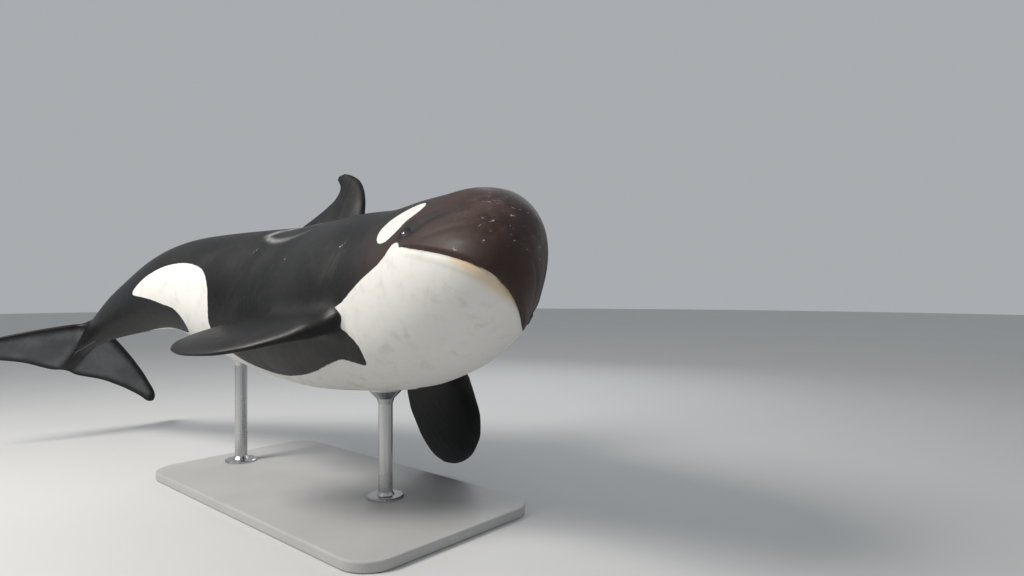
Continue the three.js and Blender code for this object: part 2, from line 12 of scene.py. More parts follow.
import bpy
import numpy as np
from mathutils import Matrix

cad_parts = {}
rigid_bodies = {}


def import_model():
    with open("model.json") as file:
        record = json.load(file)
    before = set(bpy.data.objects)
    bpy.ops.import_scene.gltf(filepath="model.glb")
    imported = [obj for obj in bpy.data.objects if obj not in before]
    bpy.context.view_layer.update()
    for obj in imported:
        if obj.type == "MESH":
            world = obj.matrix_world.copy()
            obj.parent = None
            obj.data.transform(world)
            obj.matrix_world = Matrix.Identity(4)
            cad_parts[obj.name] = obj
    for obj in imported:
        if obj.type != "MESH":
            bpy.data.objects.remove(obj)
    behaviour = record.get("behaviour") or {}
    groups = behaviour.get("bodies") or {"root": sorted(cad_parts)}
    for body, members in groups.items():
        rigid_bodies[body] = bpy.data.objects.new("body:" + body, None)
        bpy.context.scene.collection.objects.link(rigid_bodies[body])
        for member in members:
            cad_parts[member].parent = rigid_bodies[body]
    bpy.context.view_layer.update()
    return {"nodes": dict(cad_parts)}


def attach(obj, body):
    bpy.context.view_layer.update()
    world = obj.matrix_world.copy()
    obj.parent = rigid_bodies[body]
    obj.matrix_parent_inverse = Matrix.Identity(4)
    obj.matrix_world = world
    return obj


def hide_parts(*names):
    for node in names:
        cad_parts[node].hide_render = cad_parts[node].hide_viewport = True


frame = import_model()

scene = bpy.context.scene
print("nodes:", sorted(frame["nodes"]))

# %% [markdown]
# ## The camera
# The photograph was taken level, from ahead and to the right of the animal, with a fairly wide lens.
# The camera stands where its perspective fits the animal's outline, and keeps the whole frame, so the
# orca stays at the left. The focal length follows from the frame's width in pixels.

# %% Camera
IMAGE_WIDTH = 1024
FOCAL_PIXELS = 661.5
SENSOR = 36.0
CAMERA_AT = (3.869, -2.516, 1.375)
CAMERA_TURN = 41.28

camera_data = bpy.data.cameras.new("camera")
camera_data.sensor_width = SENSOR
camera_data.lens = SENSOR * FOCAL_PIXELS / IMAGE_WIDTH
camera = bpy.data.objects.new("camera", camera_data)
camera.location = CAMERA_AT
camera.rotation_euler = (math.pi / 2, 0, math.radians(CAMERA_TURN))
scene.collection.objects.link(camera)
scene.camera = camera
print("lens:", round(camera_data.lens, 2), "mm")

# %% [markdown]
# ## The spine
# A whale is a smooth body that bends. Modelling it straight and bending it with a modifier is one way,
# but then fins and markings shear. Here the spine itself is bent: it is stepped through small turns
# both ways from the middle of the trunk, and every cross-section is set square to it. The bends and
# sizes are those of the solids, in metres.

# %% Spine
LENGTH = 5.6
ROOT_STATION = 0.38
ROOT_AT = np.array([-0.030, 0.115, 1.260])
NOSE_UP = 1.9
ROLL = -22.4
SPINE_STEPS = 240
# from, to, side swing, drop and twist in degrees, followed tailward
BENDS = np.array([
    [0.06, 0.30, -24.1, 5.5, 15.3],
    [0.30, 0.55, -23.4, -2.0, 0.0],
    [0.55, 0.78, 10.3, 22.9, 15.9],
    [0.78, 0.93, 3.9, 7.2, -16.9],
    [0.92, 0.965, 0.0, 27.2, 0.0],
])


def turn_about(axis, angle):
    """Rotation matrix about x, y or z: the other two axes turn by the angle, in radians."""
    c, s = math.cos(angle), math.sin(angle)
    rows = {"x": [[1, 0, 0], [0, c, -s], [0, s, c]],
            "y": [[c, 0, s], [0, 1, 0], [-s, 0, c]],
            "z": [[c, -s, 0], [s, c, 0], [0, 0, 1]]}
    return np.array(rows[axis])


def step_turn(station):
    """The small turn of one spine step: each bend weighs in as a raised cosine over its stretch."""
    share = (station - BENDS[:, 0]) / (BENDS[:, 1] - BENDS[:, 0])
    weight = np.where((share > 0) & (share < 1), 1 - np.cos(2 * np.pi * share), 0)
    weight = weight / (BENDS[:, 1] - BENDS[:, 0]) / SPINE_STEPS
    side, down, twist = np.radians(weight @ BENDS[:, 2:])
    return turn_about("z", -side) @ turn_about("y", -down) @ turn_about("x", twist)


def make_spine():
    """Places and turns of all spine stations, stepped both ways from the root station."""
    places = np.zeros((SPINE_STEPS + 1, 3))
    turns = np.zeros((SPINE_STEPS + 1, 3, 3))
    root = round(ROOT_STATION * SPINE_STEPS)
    half = LENGTH / SPINE_STEPS / 2
    places[root] = ROOT_AT
    turns[root] = turn_about("y", math.radians(-NOSE_UP)) @ turn_about("x", math.radians(ROLL))
    for i in range(root, SPINE_STEPS):
        turns[i + 1] = turns[i] @ step_turn((i + 0.5) / SPINE_STEPS)
        places[i + 1] = places[i] - half * (turns[i][:, 0] + turns[i + 1][:, 0])
    for i in range(root, 0, -1):
        turns[i - 1] = turns[i] @ step_turn((i - 0.5) / SPINE_STEPS).T
        places[i - 1] = places[i] + half * (turns[i][:, 0] + turns[i - 1][:, 0])
    return places, turns


SPINE_PLACES, SPINE_TURNS = make_spine()


def frame_at(station):
    """Place, forward, left and up at each station: the stepped spine, blended between its steps.
    Past the last station the spine runs on straight."""
    station = np.asarray(station, float)
    held = np.clip(station, 0, 1)
    step = np.clip(np.floor(held * SPINE_STEPS).astype(int), 0, SPINE_STEPS - 1)
    share = (held * SPINE_STEPS - step)[..., None]
    place = SPINE_PLACES[step] * (1 - share) + SPINE_PLACES[step + 1] * share
    turn = SPINE_TURNS[step] * (1 - share[..., None]) + SPINE_TURNS[step + 1] * share[..., None]
    turn = turn / np.linalg.norm(turn, axis=-2, keepdims=True)
    place = place + turn[..., 0] * ((held - station) * LENGTH)[..., None]
    return place, turn[..., 0], turn[..., 1], turn[..., 2]


print("snout at", frame_at(0.0)[0].round(3), "notch at", frame_at(1.0)[0].round(3))

# %% [markdown]
# ## Cross-sections
# Each section is two half ellipses, one above and one below the spine. Their sizes come from a short
# table, read through a curve that never overshoots its rows. The curve runs over the square root of
# the station, which makes the snout round instead of pointed.

# %% Sections
# station, height above the spine, depth below it, half width, in shares of the length
SECTIONS = np.array([
    [0.0, 0.0, 0.0, 0.0],
    [0.006, 0.02, 0.0147, 0.0177],
    [0.02, 0.0455, 0.0252, 0.0335],
    [0.045, 0.0718, 0.0378, 0.0492],
    [0.075, 0.0902, 0.0494, 0.062],
    [0.11, 0.1005, 0.0631, 0.0727],
    [0.16, 0.1018, 0.082, 0.0842],
    [0.22, 0.0965, 0.096, 0.0918],
    [0.3, 0.1025, 0.1006, 0.0967],
    [0.38, 0.1035, 0.1025, 0.0957],
    [0.46, 0.0986, 0.0977, 0.0889],
    [0.54, 0.0889, 0.0859, 0.0762],
    [0.62, 0.0752, 0.0684, 0.0596],
    [0.7, 0.0596, 0.0518, 0.043],
    [0.78, 0.0459, 0.0381, 0.0293],
    [0.85, 0.0352, 0.0283, 0.0195],
    [0.905, 0.0264, 0.0215, 0.0137],
    [0.95, 0.0156, 0.0137, 0.0117],
    [0.985, 0.0068, 0.0059, 0.0068],
])
BODY_END = 0.985


def curve_through(x, y):
    """A cubic between each two rows whose slopes are harmonic means of its neighbours', so that it
    never overshoots. Gives back a function of x."""
    slope = np.diff(y) / np.diff(x)
    before, after = slope[:-1], slope[1:]
    total = np.where(before + after == 0, 1, before + after)
    inner = np.where(before * after > 0, 2 * before * after / total, 0)
    tangent = np.concatenate([slope[:1], inner, slope[-1:]])

    def read(at):
        i = np.clip(np.searchsorted(x, at) - 1, 0, len(x) - 2)
        step = x[i + 1] - x[i]
        t = (at - x[i]) / step
        value = y[i] * (1 + 2 * t) * (1 - t) ** 2 + y[i + 1] * t * t * (3 - 2 * t)
        return value + step * t * (1 - t) * (tangent[i] * (1 - t) - tangent[i + 1] * t)

    return read


ROOTS = np.sqrt(SECTIONS[:, 0])
curves = [curve_through(ROOTS, SECTIONS[:, column] * LENGTH) for column in (1, 2, 3)]


def section_at(station):
    """Height, depth and half width of the body at a station, in metres."""
    root = np.sqrt(np.clip(station, 0, BODY_END))
    return tuple(curve(root) for curve in curves)


def smooth_step(low, high, x):
    """0 below low, 1 above high, and an S-shaped cubic between them."""
    t = np.clip((x - low) / (high - low), 0, 1)
    return t * t * (3 - 2 * t)


def bump(x, width):
    """A bell curve, 1 at x = 0 and small past twice the width."""
    return np.exp(-(x / width) ** 2)


print("deepest body:", round(float(sum(section_at(0.36)[:2])), 3), "m")

# %% [markdown]
# ## The relief of the head and trunk
# An orca's head is smooth, so its few forms count: the line of the closed mouth between soft lips, a
# shallow crease where the melon meets the upper lip, a furrow from the eye over the melon's side and
# the brow and hollow round the eye. Each is a small height added along the section's outward
# direction, written as a bell curve of the distance from a line. Low swells on the flanks are muscle.

# %% Relief
GAPE = 0.09
MOUTH_DEPTH = 0.089
MOUTH_RISE = 0.030
LIP_GROOVE, LIP_GROOVE_WIDTH = 0.013, 0.0055
LIP_SWELL, LIP_SWELL_WIDTH, LIP_SWELL_AWAY = 0.006, 0.014, 0.024
CREASE_DEPTH, CREASE_WIDTH = 0.006, 0.016
# where the crease over the upper lip runs: stations and turns from the back's midline
CREASE_STATIONS = np.array([0.0, 0.012, 0.026, 0.040, 0.055, 0.080, 0.095])
CREASE_TURNS = np.radians([48.0, 58.0, 76.0, 84.0, 90.0, 95.0, 97.0])
# and the softer furrow from the eye up over the melon's side
FURROW_STATIONS = np.array([0.03, 0.045, 0.055, 0.073, 0.086, 0.100])
FURROW_TURNS = np.radians([58.0, 64.0, 69.0, 77.5, 84.0, 87.0])
FURROW_DEPTH, FURROW_WIDTH = 0.010, 0.034
EYE_STATION, EYE_TURN = 0.100, 87.0
# soft forms round the eye: height, then place and width up the skin, and place and width ahead
EYE_FORMS = [(0.008, 0.075, 0.035, 0.0, 0.11), (-0.006, 0.005, 0.035, 0.105, 0.05),
             (0.004, -0.065, 0.022, -0.02, 0.08)]
BLOW_STATION, BLOW_TURN = 0.118, 4.0
BLOW_SWELL, BLOW_SWELL_LENGTH, BLOW_SWELL_WIDTH = 0.008, 0.055, 0.07
FLANK_SWELL = 0.0035


def mouth_height(station):
    """Height of the mouth line over the spine: lowest at the front, curving up to the gape."""
    return -MOUTH_DEPTH + MOUTH_RISE * (station / GAPE) ** 2


def lip_relief(station, height):
    """A narrow groove at the mouth line with a soft swell on both sides, fading behind the gape."""
    fade = 1 - smooth_step(GAPE - 0.020, GAPE + 0.006, station)
    away = height - mouth_height(station)
    groove = LIP_GROOVE * bump(away, LIP_GROOVE_WIDTH)
    swell = LIP_SWELL * bump(np.abs(away) - LIP_SWELL_AWAY, LIP_SWELL_WIDTH)
    return fade * smooth_step(0.001, 0.006, station) * (swell - groove)


def head_relief(station, turn, radius):
    """The melon's crease and furrow, a brow over each eye, a hollow ahead of it, a swell under it and
    the low mound of the blowhole."""
    side = np.abs(turn)
    away = (side - np.interp(station, CREASE_STATIONS, CREASE_TURNS)) * radius
    fade = smooth_step(0.004, 0.02, station) * (1 - smooth_step(0.082, 0.096, station))
    relief = -CREASE_DEPTH * fade * bump(away, CREASE_WIDTH)
    away = (side - np.interp(station, FURROW_STATIONS, FURROW_TURNS)) * radius
    fade = smooth_step(0.03, 0.06, station) * (1 - smooth_step(0.088, 0.100, station))
    relief = relief - FURROW_DEPTH * fade * bump(away, FURROW_WIDTH)
    ahead = (EYE_STATION - station) * LENGTH
    over = (math.radians(EYE_TURN) - side) * radius
    for height, up_at, up_width, ahead_at, ahead_width in EYE_FORMS:
        relief = relief + height * bump(over - up_at, up_width) * bump(ahead - ahead_at, ahead_width)
    back = (BLOW_STATION - station) * LENGTH
    across = (turn - math.radians(BLOW_TURN)) * radius
    return relief + BLOW_SWELL * bump(np.hypot(back / BLOW_SWELL_LENGTH, across / BLOW_SWELL_WIDTH), 1.0)


def trunk_relief(station, turn):
    """Low, broad swells that lean with the flank's muscles, strongest behind the flippers."""
    place = station * LENGTH
    lean = place * 9.0 + 2.2 * np.cos(turn) + 1.3 * np.sin(place * 2.1)
    fade = smooth_step(0.17, 0.24, station) * (1 - smooth_step(0.5, 0.62, station))
    return FLANK_SWELL * fade * np.sin(lean) * np.sin(turn) ** 2


def skin_point(station, turn, relief=True):
    """A point of the skin: out from the spine by the section's half ellipse and its relief."""
    top, bottom, width = section_at(station)
    tall = np.where(np.cos(turn) > 0, top, bottom)
    extra = np.zeros_like(tall)
    if relief:
        extra = extra + lip_relief(station, tall * np.cos(turn))
        extra = extra + head_relief(station, turn, (tall + width) / 2) + trunk_relief(station, turn)
    place, _, left, up = frame_at(station)
    across = ((width + extra) * np.sin(turn))[..., None]
    return place + left * across + up * ((tall + extra) * np.cos(turn))[..., None]


def skin_normal(station, turn):
    """Outward direction of the plain skin, from the cross product of its two slopes."""
    step = 1e-3
    along = skin_point(station - step, turn, relief=False) - skin_point(station + step, turn, relief=False)
    around = skin_point(station, turn + step, relief=False) - skin_point(station, turn - step, relief=False)
    normal = np.cross(along, around)
    normal = normal / np.linalg.norm(normal, axis=-1, keepdims=True)
    outward = skin_point(station, turn, relief=False) - frame_at(station)[0]
    return normal * np.sign((normal * outward).sum(-1, keepdims=True))


# %% [markdown]
# ## The body's grid
# The grid's lines are denser where the form is finer. Along the body the spacing is given at a few
# stations and summed up. Around it, lines gather on both sides of the mouth and follow it, so that the
# groove of the lips is crisp, and spread out evenly again behind the head.

# %% Grid lines
# wished spacing of the rings, in metres, at stations along the body
SPACING = np.array([[0.0, 0.0025], [0.008, 0.005], [0.03, 0.0095], [0.085, 0.010], [0.10, 0.008],
                    [0.125, 0.009], [0.17, 0.017], [0.25, 0.026], [0.80, 0.028], [0.90, 0.020], [0.985, 0.014]])
LIP_LINES = np.array([2.5, 5, 8, 12, 17, 23, 31, 42]) / 1000
LINES_ABOVE, LINES_BELOW = 52, 34


def ring_stations():
    """Stations whose steps follow the wished spacing: its inverse is summed and cut in even parts."""
    fine = np.linspace(0.00005, BODY_END, 8000)
    density = LENGTH / np.interp(fine, SPACING[:, 0], SPACING[:, 1])
    total = np.concatenate([[0], np.cumsum((density[1:] + density[:-1]) / 2 * np.diff(fine))])
    return np.interp(np.linspace(0, total[-1], int(total[-1])), total, fine)


def half_turns(station):
    """Turns from back to belly for each ring: even steps down to the lips, lines beside the mouth at
    fixed distances, and even steps on to the belly, blended into all even steps behind the head."""
    top, bottom, width = section_at(station)
    reach = np.minimum(0.9, -mouth_height(np.minimum(station, GAPE)) / bottom)
    mouth = np.pi / 2 + np.arcsin(np.clip(reach, 0, 0.9))
    radius = np.hypot(bottom * np.sin(mouth), width * np.cos(mouth))
    squeeze = np.minimum(1, (np.pi - mouth) * radius * 0.7 / LIP_LINES[-1])
    lines = np.concatenate([-LIP_LINES[::-1], [0], LIP_LINES])
    beside = mouth[:, None] + lines * (squeeze / radius)[:, None]
    above = beside[:, :1] * np.arange(LINES_ABOVE) / LINES_ABOVE
    rest = np.arange(1, LINES_BELOW + 1) / LINES_BELOW
    below = beside[:, -1:] + (np.pi - beside[:, -1:]) * rest
    turns = np.concatenate([above, beside, below], axis=1)
    even = np.linspace(0, np.pi, turns.shape[1])
    blend = smooth_step(GAPE, 0.24, station)[:, None]
    return turns * (1 - blend) + even * blend


stations = ring_stations()
left_turns = half_turns(stations)
turns = np.concatenate([left_turns, -left_turns[:, -2:0:-1]], axis=1)
print("body grid:", turns.shape)

# %% [markdown]
# ## From grids to meshes
# All the pieces are rows of rings, so one function turns rings into a closed mesh: quads between
# neighbouring rings and a fan at each end. Whole arrays of indices are worked out at once. A grid
# whose rings close on themselves, like a ring of lids, joins its last ring to its first instead.

# %% Mesh helpers


def quad_indices(rings, around, closed=False):
    """Corner numbers of the quads between rings; the last point of a ring joins its first."""
    ring, i = np.meshgrid(np.arange(rings if closed else rings - 1), np.arange(around), indexing="ij")
    ahead, beside = (ring + 1) % rings, (i + 1) % around
    corners = [ring * around + i, ring * around + beside, ahead * around + beside, ahead * around + i]
    return np.stack(corners, axis=-1).reshape(-1, 4)


def mesh_object(name, points, quads, triangles=(), part=0):
    """An object at the origin from arrays of points and faces, all smooth, one material index."""
    data = bpy.data.meshes.new(name)
    faces = [tuple(q) for q in np.asarray(quads).tolist()] + [tuple(t) for t in np.asarray(triangles).tolist()]
    data.from_pydata(np.asarray(points).tolist(), [], faces)
    data.polygons.foreach_set("use_smooth", np.ones(len(faces), bool))
    for slot in range(part + 1):
        data.materials.append(part_materials[slot])
    data.polygons.foreach_set("material_index", np.full(len(faces), part, np.int32))
    data.update()
    made = bpy.data.objects.new(name, data)
    scene.collection.objects.link(made)
    return made


def loft(name, rings, part=0):
    """A closed skin over an array of rings: rows of quads, ended by fans about the ends' middles."""
    count, around = rings.shape[:2]
    points = np.concatenate([rings.reshape(-1, 3), rings[:1].mean(1), rings[-1:].mean(1)])
    i = np.arange(around)
    beside = (i + 1) % around
    last = (count - 1) * around
    first_fan = np.stack([np.full(around, len(points) - 2), beside, i], axis=-1)
    last_fan = np.stack([np.full(around, len(points) - 1), last + i, last + beside], axis=-1)
    made = mesh_object(name, points, quad_indices(count, around), np.concatenate([first_fan, last_fan]), part)
    return outward(made)


def signed_volume(data):
    """Sum over the triangles of a sixth of the box product of their corners."""
    data.calc_loop_triangles()
    corners = np.empty(len(data.loop_triangles) * 3, np.int32)
    data.loop_triangles.foreach_get("vertices", corners)
    points = read_points(data)[corners].reshape(-1, 3, 3)
    return float(np.einsum("ij,ij->i", points[:, 0], np.cross(points[:, 1], points[:, 2])).sum() / 6)


def read_points(data):
    """All vertex places of a mesh as one array."""
    flat = np.empty(len(data.vertices) * 3, np.float32)
    data.vertices.foreach_get("co", flat)
    return flat.reshape(-1, 3).astype(float)


def outward(made):
    """Turns a closed mesh round if its faces point inwards."""
    if signed_volume(made.data) < 0:
        made.data.flip_normals()
    return made


PARTS = ("body", "dorsal", "flippers", "flukes", "lids", "blowhole")
part_materials = [bpy.data.materials.new("part_" + part) for part in PARTS]
body = loft("skin", skin_point(stations[:, None] + 0 * turns, turns), PARTS.index("body"))
print("body:", len(body.data.polygons), "faces,", round(signed_volume(body.data), 3), "cubic metres")

# %% [markdown]
# ## Fins
# Fins are wings: thin teardrop sections, thickest a third of the way back, with a round leading edge
# and a thin trailing one. The thickness follows the usual four-digit wing formula. A fin is a function
# of its share of height or span and of the angle around its section. Roots flare and sink into the
# body, as deep as the flare needs to vanish.

# %% Fin sections
FIN_AROUND = 56
ROUND_EDGE = 0.003


def wing(around):
    """Half thickness over the chord for angles round a section: the wing formula plus a round edge.
    Gives shares along the chord, thickness shares and the part due to the edge."""
    share = (1 - np.cos(around)) / 2
    shape = 0.2969 * np.sqrt(share) - 0.126 * share - 0.3516 * share ** 2
    shape = (shape + 0.2843 * share ** 3 - 0.1036 * share ** 4) * 10
    return share, shape, ROUND_EDGE * np.sin(around) ** 2


def fin_shares(start, count):
    """Shares of the height from below the skin to the tip, closer together towards the tip."""
    t = np.linspace(0, 1, count)
    return start + (1 - start) * (1 - (1 - t) ** 2) * 0.99998


def tip_curve(rows):
    """A fin's edge over its shares, smooth in the square root of what is left to the tip, so that the
    tip is round."""
    curve = curve_through(-np.sqrt(1 - rows[:, 0]), rows[:, 1])
    return lambda share: curve(-np.sqrt(np.maximum(1 - share, 0)))


around = np.arange(FIN_AROUND) * 2 * np.pi / FIN_AROUND
chord_share, wing_shape, wing_edge = wing(around)
side_sign = np.where(around < np.pi, 1.0, -1.0)

# %% The dorsal fin
DORSAL_HEIGHT, DORSAL_SUNK = 0.526, 0.070
DORSAL_HALF, DORSAL_TIP_HALF = 0.050, 0.010
DORSAL_FLARE, DORSAL_FLARE_REACH = 0.022, 0.07
# the two edges as stations, for shares of the height
DORSAL_LEAD = np.array([[-0.14, 0.35], [0, 0.366], [0.21, 0.3853], [0.5, 0.397], [0.7, 0.4085], [0.86, 0.4235],
                        [0.95, 0.4386], [1, 0.458]])
DORSAL_TRAIL = np.array([[-0.14, 0.538], [0, 0.519], [0.15, 0.5005], [0.3, 0.4842], [0.458, 0.4688], [0.6, 0.4585],
                         [0.72, 0.456], [0.8, 0.458], [0.87, 0.4632], [0.93, 0.4682], [0.97, 0.4682], [1, 0.458]])


def dorsal_rings():
    """Sections stacked up from the back: each chord lies along the spine between the two edges."""
    share = fin_shares(-DORSAL_SUNK / DORSAL_HEIGHT, 60)[:, None]
    lead, trail = tip_curve(DORSAL_LEAD)(share), tip_curve(DORSAL_TRAIL)(share)
    station = lead + (trail - lead) * chord_share
    outer = np.maximum(share, 0)
    half = DORSAL_TIP_HALF + (DORSAL_HALF - DORSAL_TIP_HALF) * (1 - outer) ** 0.8
    thick = (half + DORSAL_FLARE * np.exp(-outer / DORSAL_FLARE_REACH)) * wing_shape + wing_edge
    place, _, left, up = frame_at(station)
    height = section_at(station)[0] * 0.97 + share * DORSAL_HEIGHT
    return place + up * height[..., None] + left * (side_sign * thick)[..., None]


dorsal = loft("dorsal", dorsal_rings(), PARTS.index("dorsal"))
print("dorsal fin stands", round(float(read_points(dorsal.data)[:, 2].max()), 3), "m over the floor")

# %% The flippers
FLIPPER_STATION, FLIPPER_TURN = 0.258, 122.5
FLIPPER_LENGTH, FLIPPER_WIDTH, FLIPPER_SUNK = 0.970, 0.600, 0.300
FLIPPER_HALF, FLIPPER_TIP_HALF, FLIPPER_SWEPT = 0.039, 0.007, 0.050
FLIPPER_FLARE, FLIPPER_FLARE_REACH = 0.016, 0.06
HALF_CHORD = np.array([[-0.32, 0.08], [-0.22, 0.28], [-0.12, 0.56], [0, 0.74], [0.17, 0.877], [0.33, 0.96],
                       [0.5, 0.943], [0.667, 0.825], [0.79, 0.7], [0.9, 0.5], [0.97, 0.3], [1, 0.01]])
# side, then sweep, droop and twist in degrees
FLIPPER_POSES = {"right": (-1, 56.7, 34.7, -12.6), "left": (1, 28.2, 37.1, 9.8)}


def flipper_axes(side, sweep, droop, twist):
    """Along, chord and thickness directions: out and down by the droop, back by the sweep, then the
    blade is turned about its length by the twist."""
    sweep, droop, twist = np.radians([sweep, droop, twist])
    _, forward, left, up = frame_at(FLIPPER_STATION)
    out = left * side * math.cos(droop) - up * math.sin(droop)
    along = out * math.cos(sweep) - forward * math.sin(sweep)
    ahead = forward * math.cos(sweep) + out * math.sin(sweep)
    chord = ahead * math.cos(twist) + np.cross(ahead, along) * math.sin(twist) * side
    normal = np.cross(chord, along)
    return along, chord, normal / np.linalg.norm(normal)


def flipper_rings(side, sweep, droop, twist):
    """Sections from inside the chest to the tip, their middles swept back in a curve."""
    along, chord, normal = flipper_axes(side, sweep, droop, twist)
    root = skin_point(np.array(FLIPPER_STATION), np.array(math.radians(FLIPPER_TURN) * side), relief=False)
    share = fin_shares(-FLIPPER_SUNK / FLIPPER_LENGTH, 70)[:, None]
    outer = np.maximum(share, 0)
    chord_part = tip_curve(HALF_CHORD)(share)
    half = FLIPPER_WIDTH / 2 * chord_part
    thick = FLIPPER_HALF * (1 - outer) ** 0.75 + FLIPPER_TIP_HALF
    thick = thick + FLIPPER_FLARE * np.exp(-outer / FLIPPER_FLARE_REACH)
    thick = thick * np.minimum(1, chord_part + 0.25)
    middle = root + along * (share * FLIPPER_LENGTH)[..., None]
    middle = middle - chord * (FLIPPER_SWEPT * outer ** 4.6)[..., None]
    point = middle + chord * (half * (1 - 2 * chord_share))[..., None]
    return point + normal * (side_sign * (thick * wing_shape + wing_edge))[..., None]


flippers = [loft("flipper_" + name, flipper_rings(*pose), PARTS.index("flippers"))
            for name, pose in FLIPPER_POSES.items()]
print("flippers reach", round(FLIPPER_LENGTH, 2), "m from the chest")

# %% The flukes
FLUKE_STATION, FLUKE_SPAN = 0.955, 0.868
FLUKE_HALF, FLUKE_TIP_HALF = 0.046, 0.008
FLUKE_FLARE, FLUKE_FLARE_REACH = 0.018, 0.12
FLUKE_LEAD = np.array([[0, 0.89], [0.076, 0.9], [0.229, 0.915], [0.42, 0.935], [0.649, 0.962], [0.855, 0.99],
                       [0.977, 1.01], [1, 1.02]])
FLUKE_TRAIL = np.array([[0, 0.997], [0.05, 1.002], [0.137, 1.0045], [0.34, 1.003], [0.57, 1.008], [0.8, 1.018],
                        [0.96, 1.028], [1, 1.0245]])
fluke_lead, fluke_trail = tip_curve(FLUKE_LEAD), tip_curve(FLUKE_TRAIL)


def fluke_rings():
    """Both flukes as one wing, from tip to tip across the end of the tail, in one flat frame."""
    outer = fin_shares(0.0, 70)[1:]
    share = np.concatenate([-outer[::-1], [0], outer])[:, None]
    reach = np.abs(share)
    station = fluke_lead(reach) + (fluke_trail(reach) - fluke_lead(reach)) * chord_share
    half = FLUKE_TIP_HALF + (FLUKE_HALF - FLUKE_TIP_HALF) * (1 - reach) ** 0.8
    half = half + FLUKE_FLARE * np.exp(-reach / FLUKE_FLARE_REACH)
    place, forward, left, up = frame_at(FLUKE_STATION)
    point = place + left * (share * FLUKE_SPAN + 0 * station)[..., None]
    point = point + forward * ((FLUKE_STATION - station) * LENGTH)[..., None]
    return point + up * (side_sign * (half * wing_shape + wing_edge))[..., None]


flukes = loft("flukes", fluke_rings(), PARTS.index("flukes"))
print("flukes span", round(2 * FLUKE_SPAN, 2), "m")

# %% [markdown]
# ## Lids and blowhole
# A lid is skin drawn tight over the eyeball, ending in a rolled rim. A height painted on the body's
# grid would be too coarse, so each eye gets a fine ring of its own that grows out of the skin: its
# section runs from under the skin up over the lid to its almond-shaped rim and back down inside.
# The blowhole is made the same way, as a ring whose inner edge is a thin crescent, hollow side
# forward, with a soft swell round it. Under each ring, the body is hollowed out a little wider.

# %% Places on the skin
EYE_RADIUS, EYE_SUNK = 0.030, 0.0225
EYE_TILT = 12.0


def skin_patch(station, turn, tilt=0.0):
    """A place to build on: the point, the directions ahead, up-slope and outward, and the slopes of
    the skin by station and turn. Tilt lowers the direction ahead, in degrees."""
    station, turn, tilt = np.array(float(station)), np.array(float(turn)), math.radians(tilt)
    step = 1e-3
    by_station = (skin_point(station + step, turn) - skin_point(station - step, turn)) / (2 * step)
    by_turn = (skin_point(station, turn + step) - skin_point(station, turn - step)) / (2 * step)
    normal = skin_normal(station, turn)
    ahead = frame_at(station)[1]
    ahead = ahead - normal * (ahead @ normal)
    ahead = ahead / np.linalg.norm(ahead)
    rise = np.cross(normal, ahead) * (-1 if turn > 0 else 1)
    tilted = ahead * math.cos(tilt) - rise * math.sin(tilt)
    across = rise * math.cos(tilt) + ahead * math.sin(tilt)
    return {"at": skin_point(station, turn), "x": tilted, "y": across, "out": normal,
            "station": station, "turn": turn, "slopes": np.stack([by_station, by_turn])}


def on_patch(patch, x, y):
    """Points of the skin, and their heights over the patch's plane, at the offsets x and y: the wanted
    moves are turned into moves by station and turn through the two slopes."""
    plane = np.stack([patch["x"], patch["y"]])
    station_and_turn = np.linalg.inv(patch["slopes"] @ plane.T)
    moves = np.stack(np.broadcast_arrays(x, y), axis=-1) @ station_and_turn
    point = skin_point(patch["station"] + moves[..., 0], patch["turn"] + moves[..., 1])
    return point, (point - patch["at"]) @ patch["out"]


def patch_ring(patch, inner, outer, shares, heights, floor_share, floor):
    """Rings of a closed band: across from the inner to the outer closed curve by the shares, each
    point lifted by its height over the skin, and back again at a depth below it."""
    shares = np.concatenate([shares, floor_share])
    x = inner[0][:, None] + (outer[0] - inner[0])[:, None] * shares
    y = inner[1][:, None] + (outer[1] - inner[1])[:, None] * shares
    point, base = on_patch(patch, x, y)
    above = np.broadcast_to(heights(x, y, base, shares), x.shape)[:, :-len(floor_share)]
    lift = np.concatenate([above, np.broadcast_to(floor, (len(x), len(floor_share)))], axis=1)
    return point + patch["out"] * lift[..., None]


# %% Lids
LID_HALF_LENGTH, LID_HALF_HEIGHT = 0.0235, 0.0135
LID_OUTER_LENGTH, LID_OUTER_HEIGHT = 0.082, 0.064
LID_GAP, LID_LIFT, LID_FOLD = 0.0008, 0.0030, 0.0030
LID_CREASES = (0.0026, 0.0016, 0.0009)
# how far the outer rims of lids and blowhole dip under the skin
RIM_SUNK = 0.004
LID_STEPS, LID_SECTION = 96, 34
FLOOR_SHARES = np.linspace(0.85, 0.0, 8)


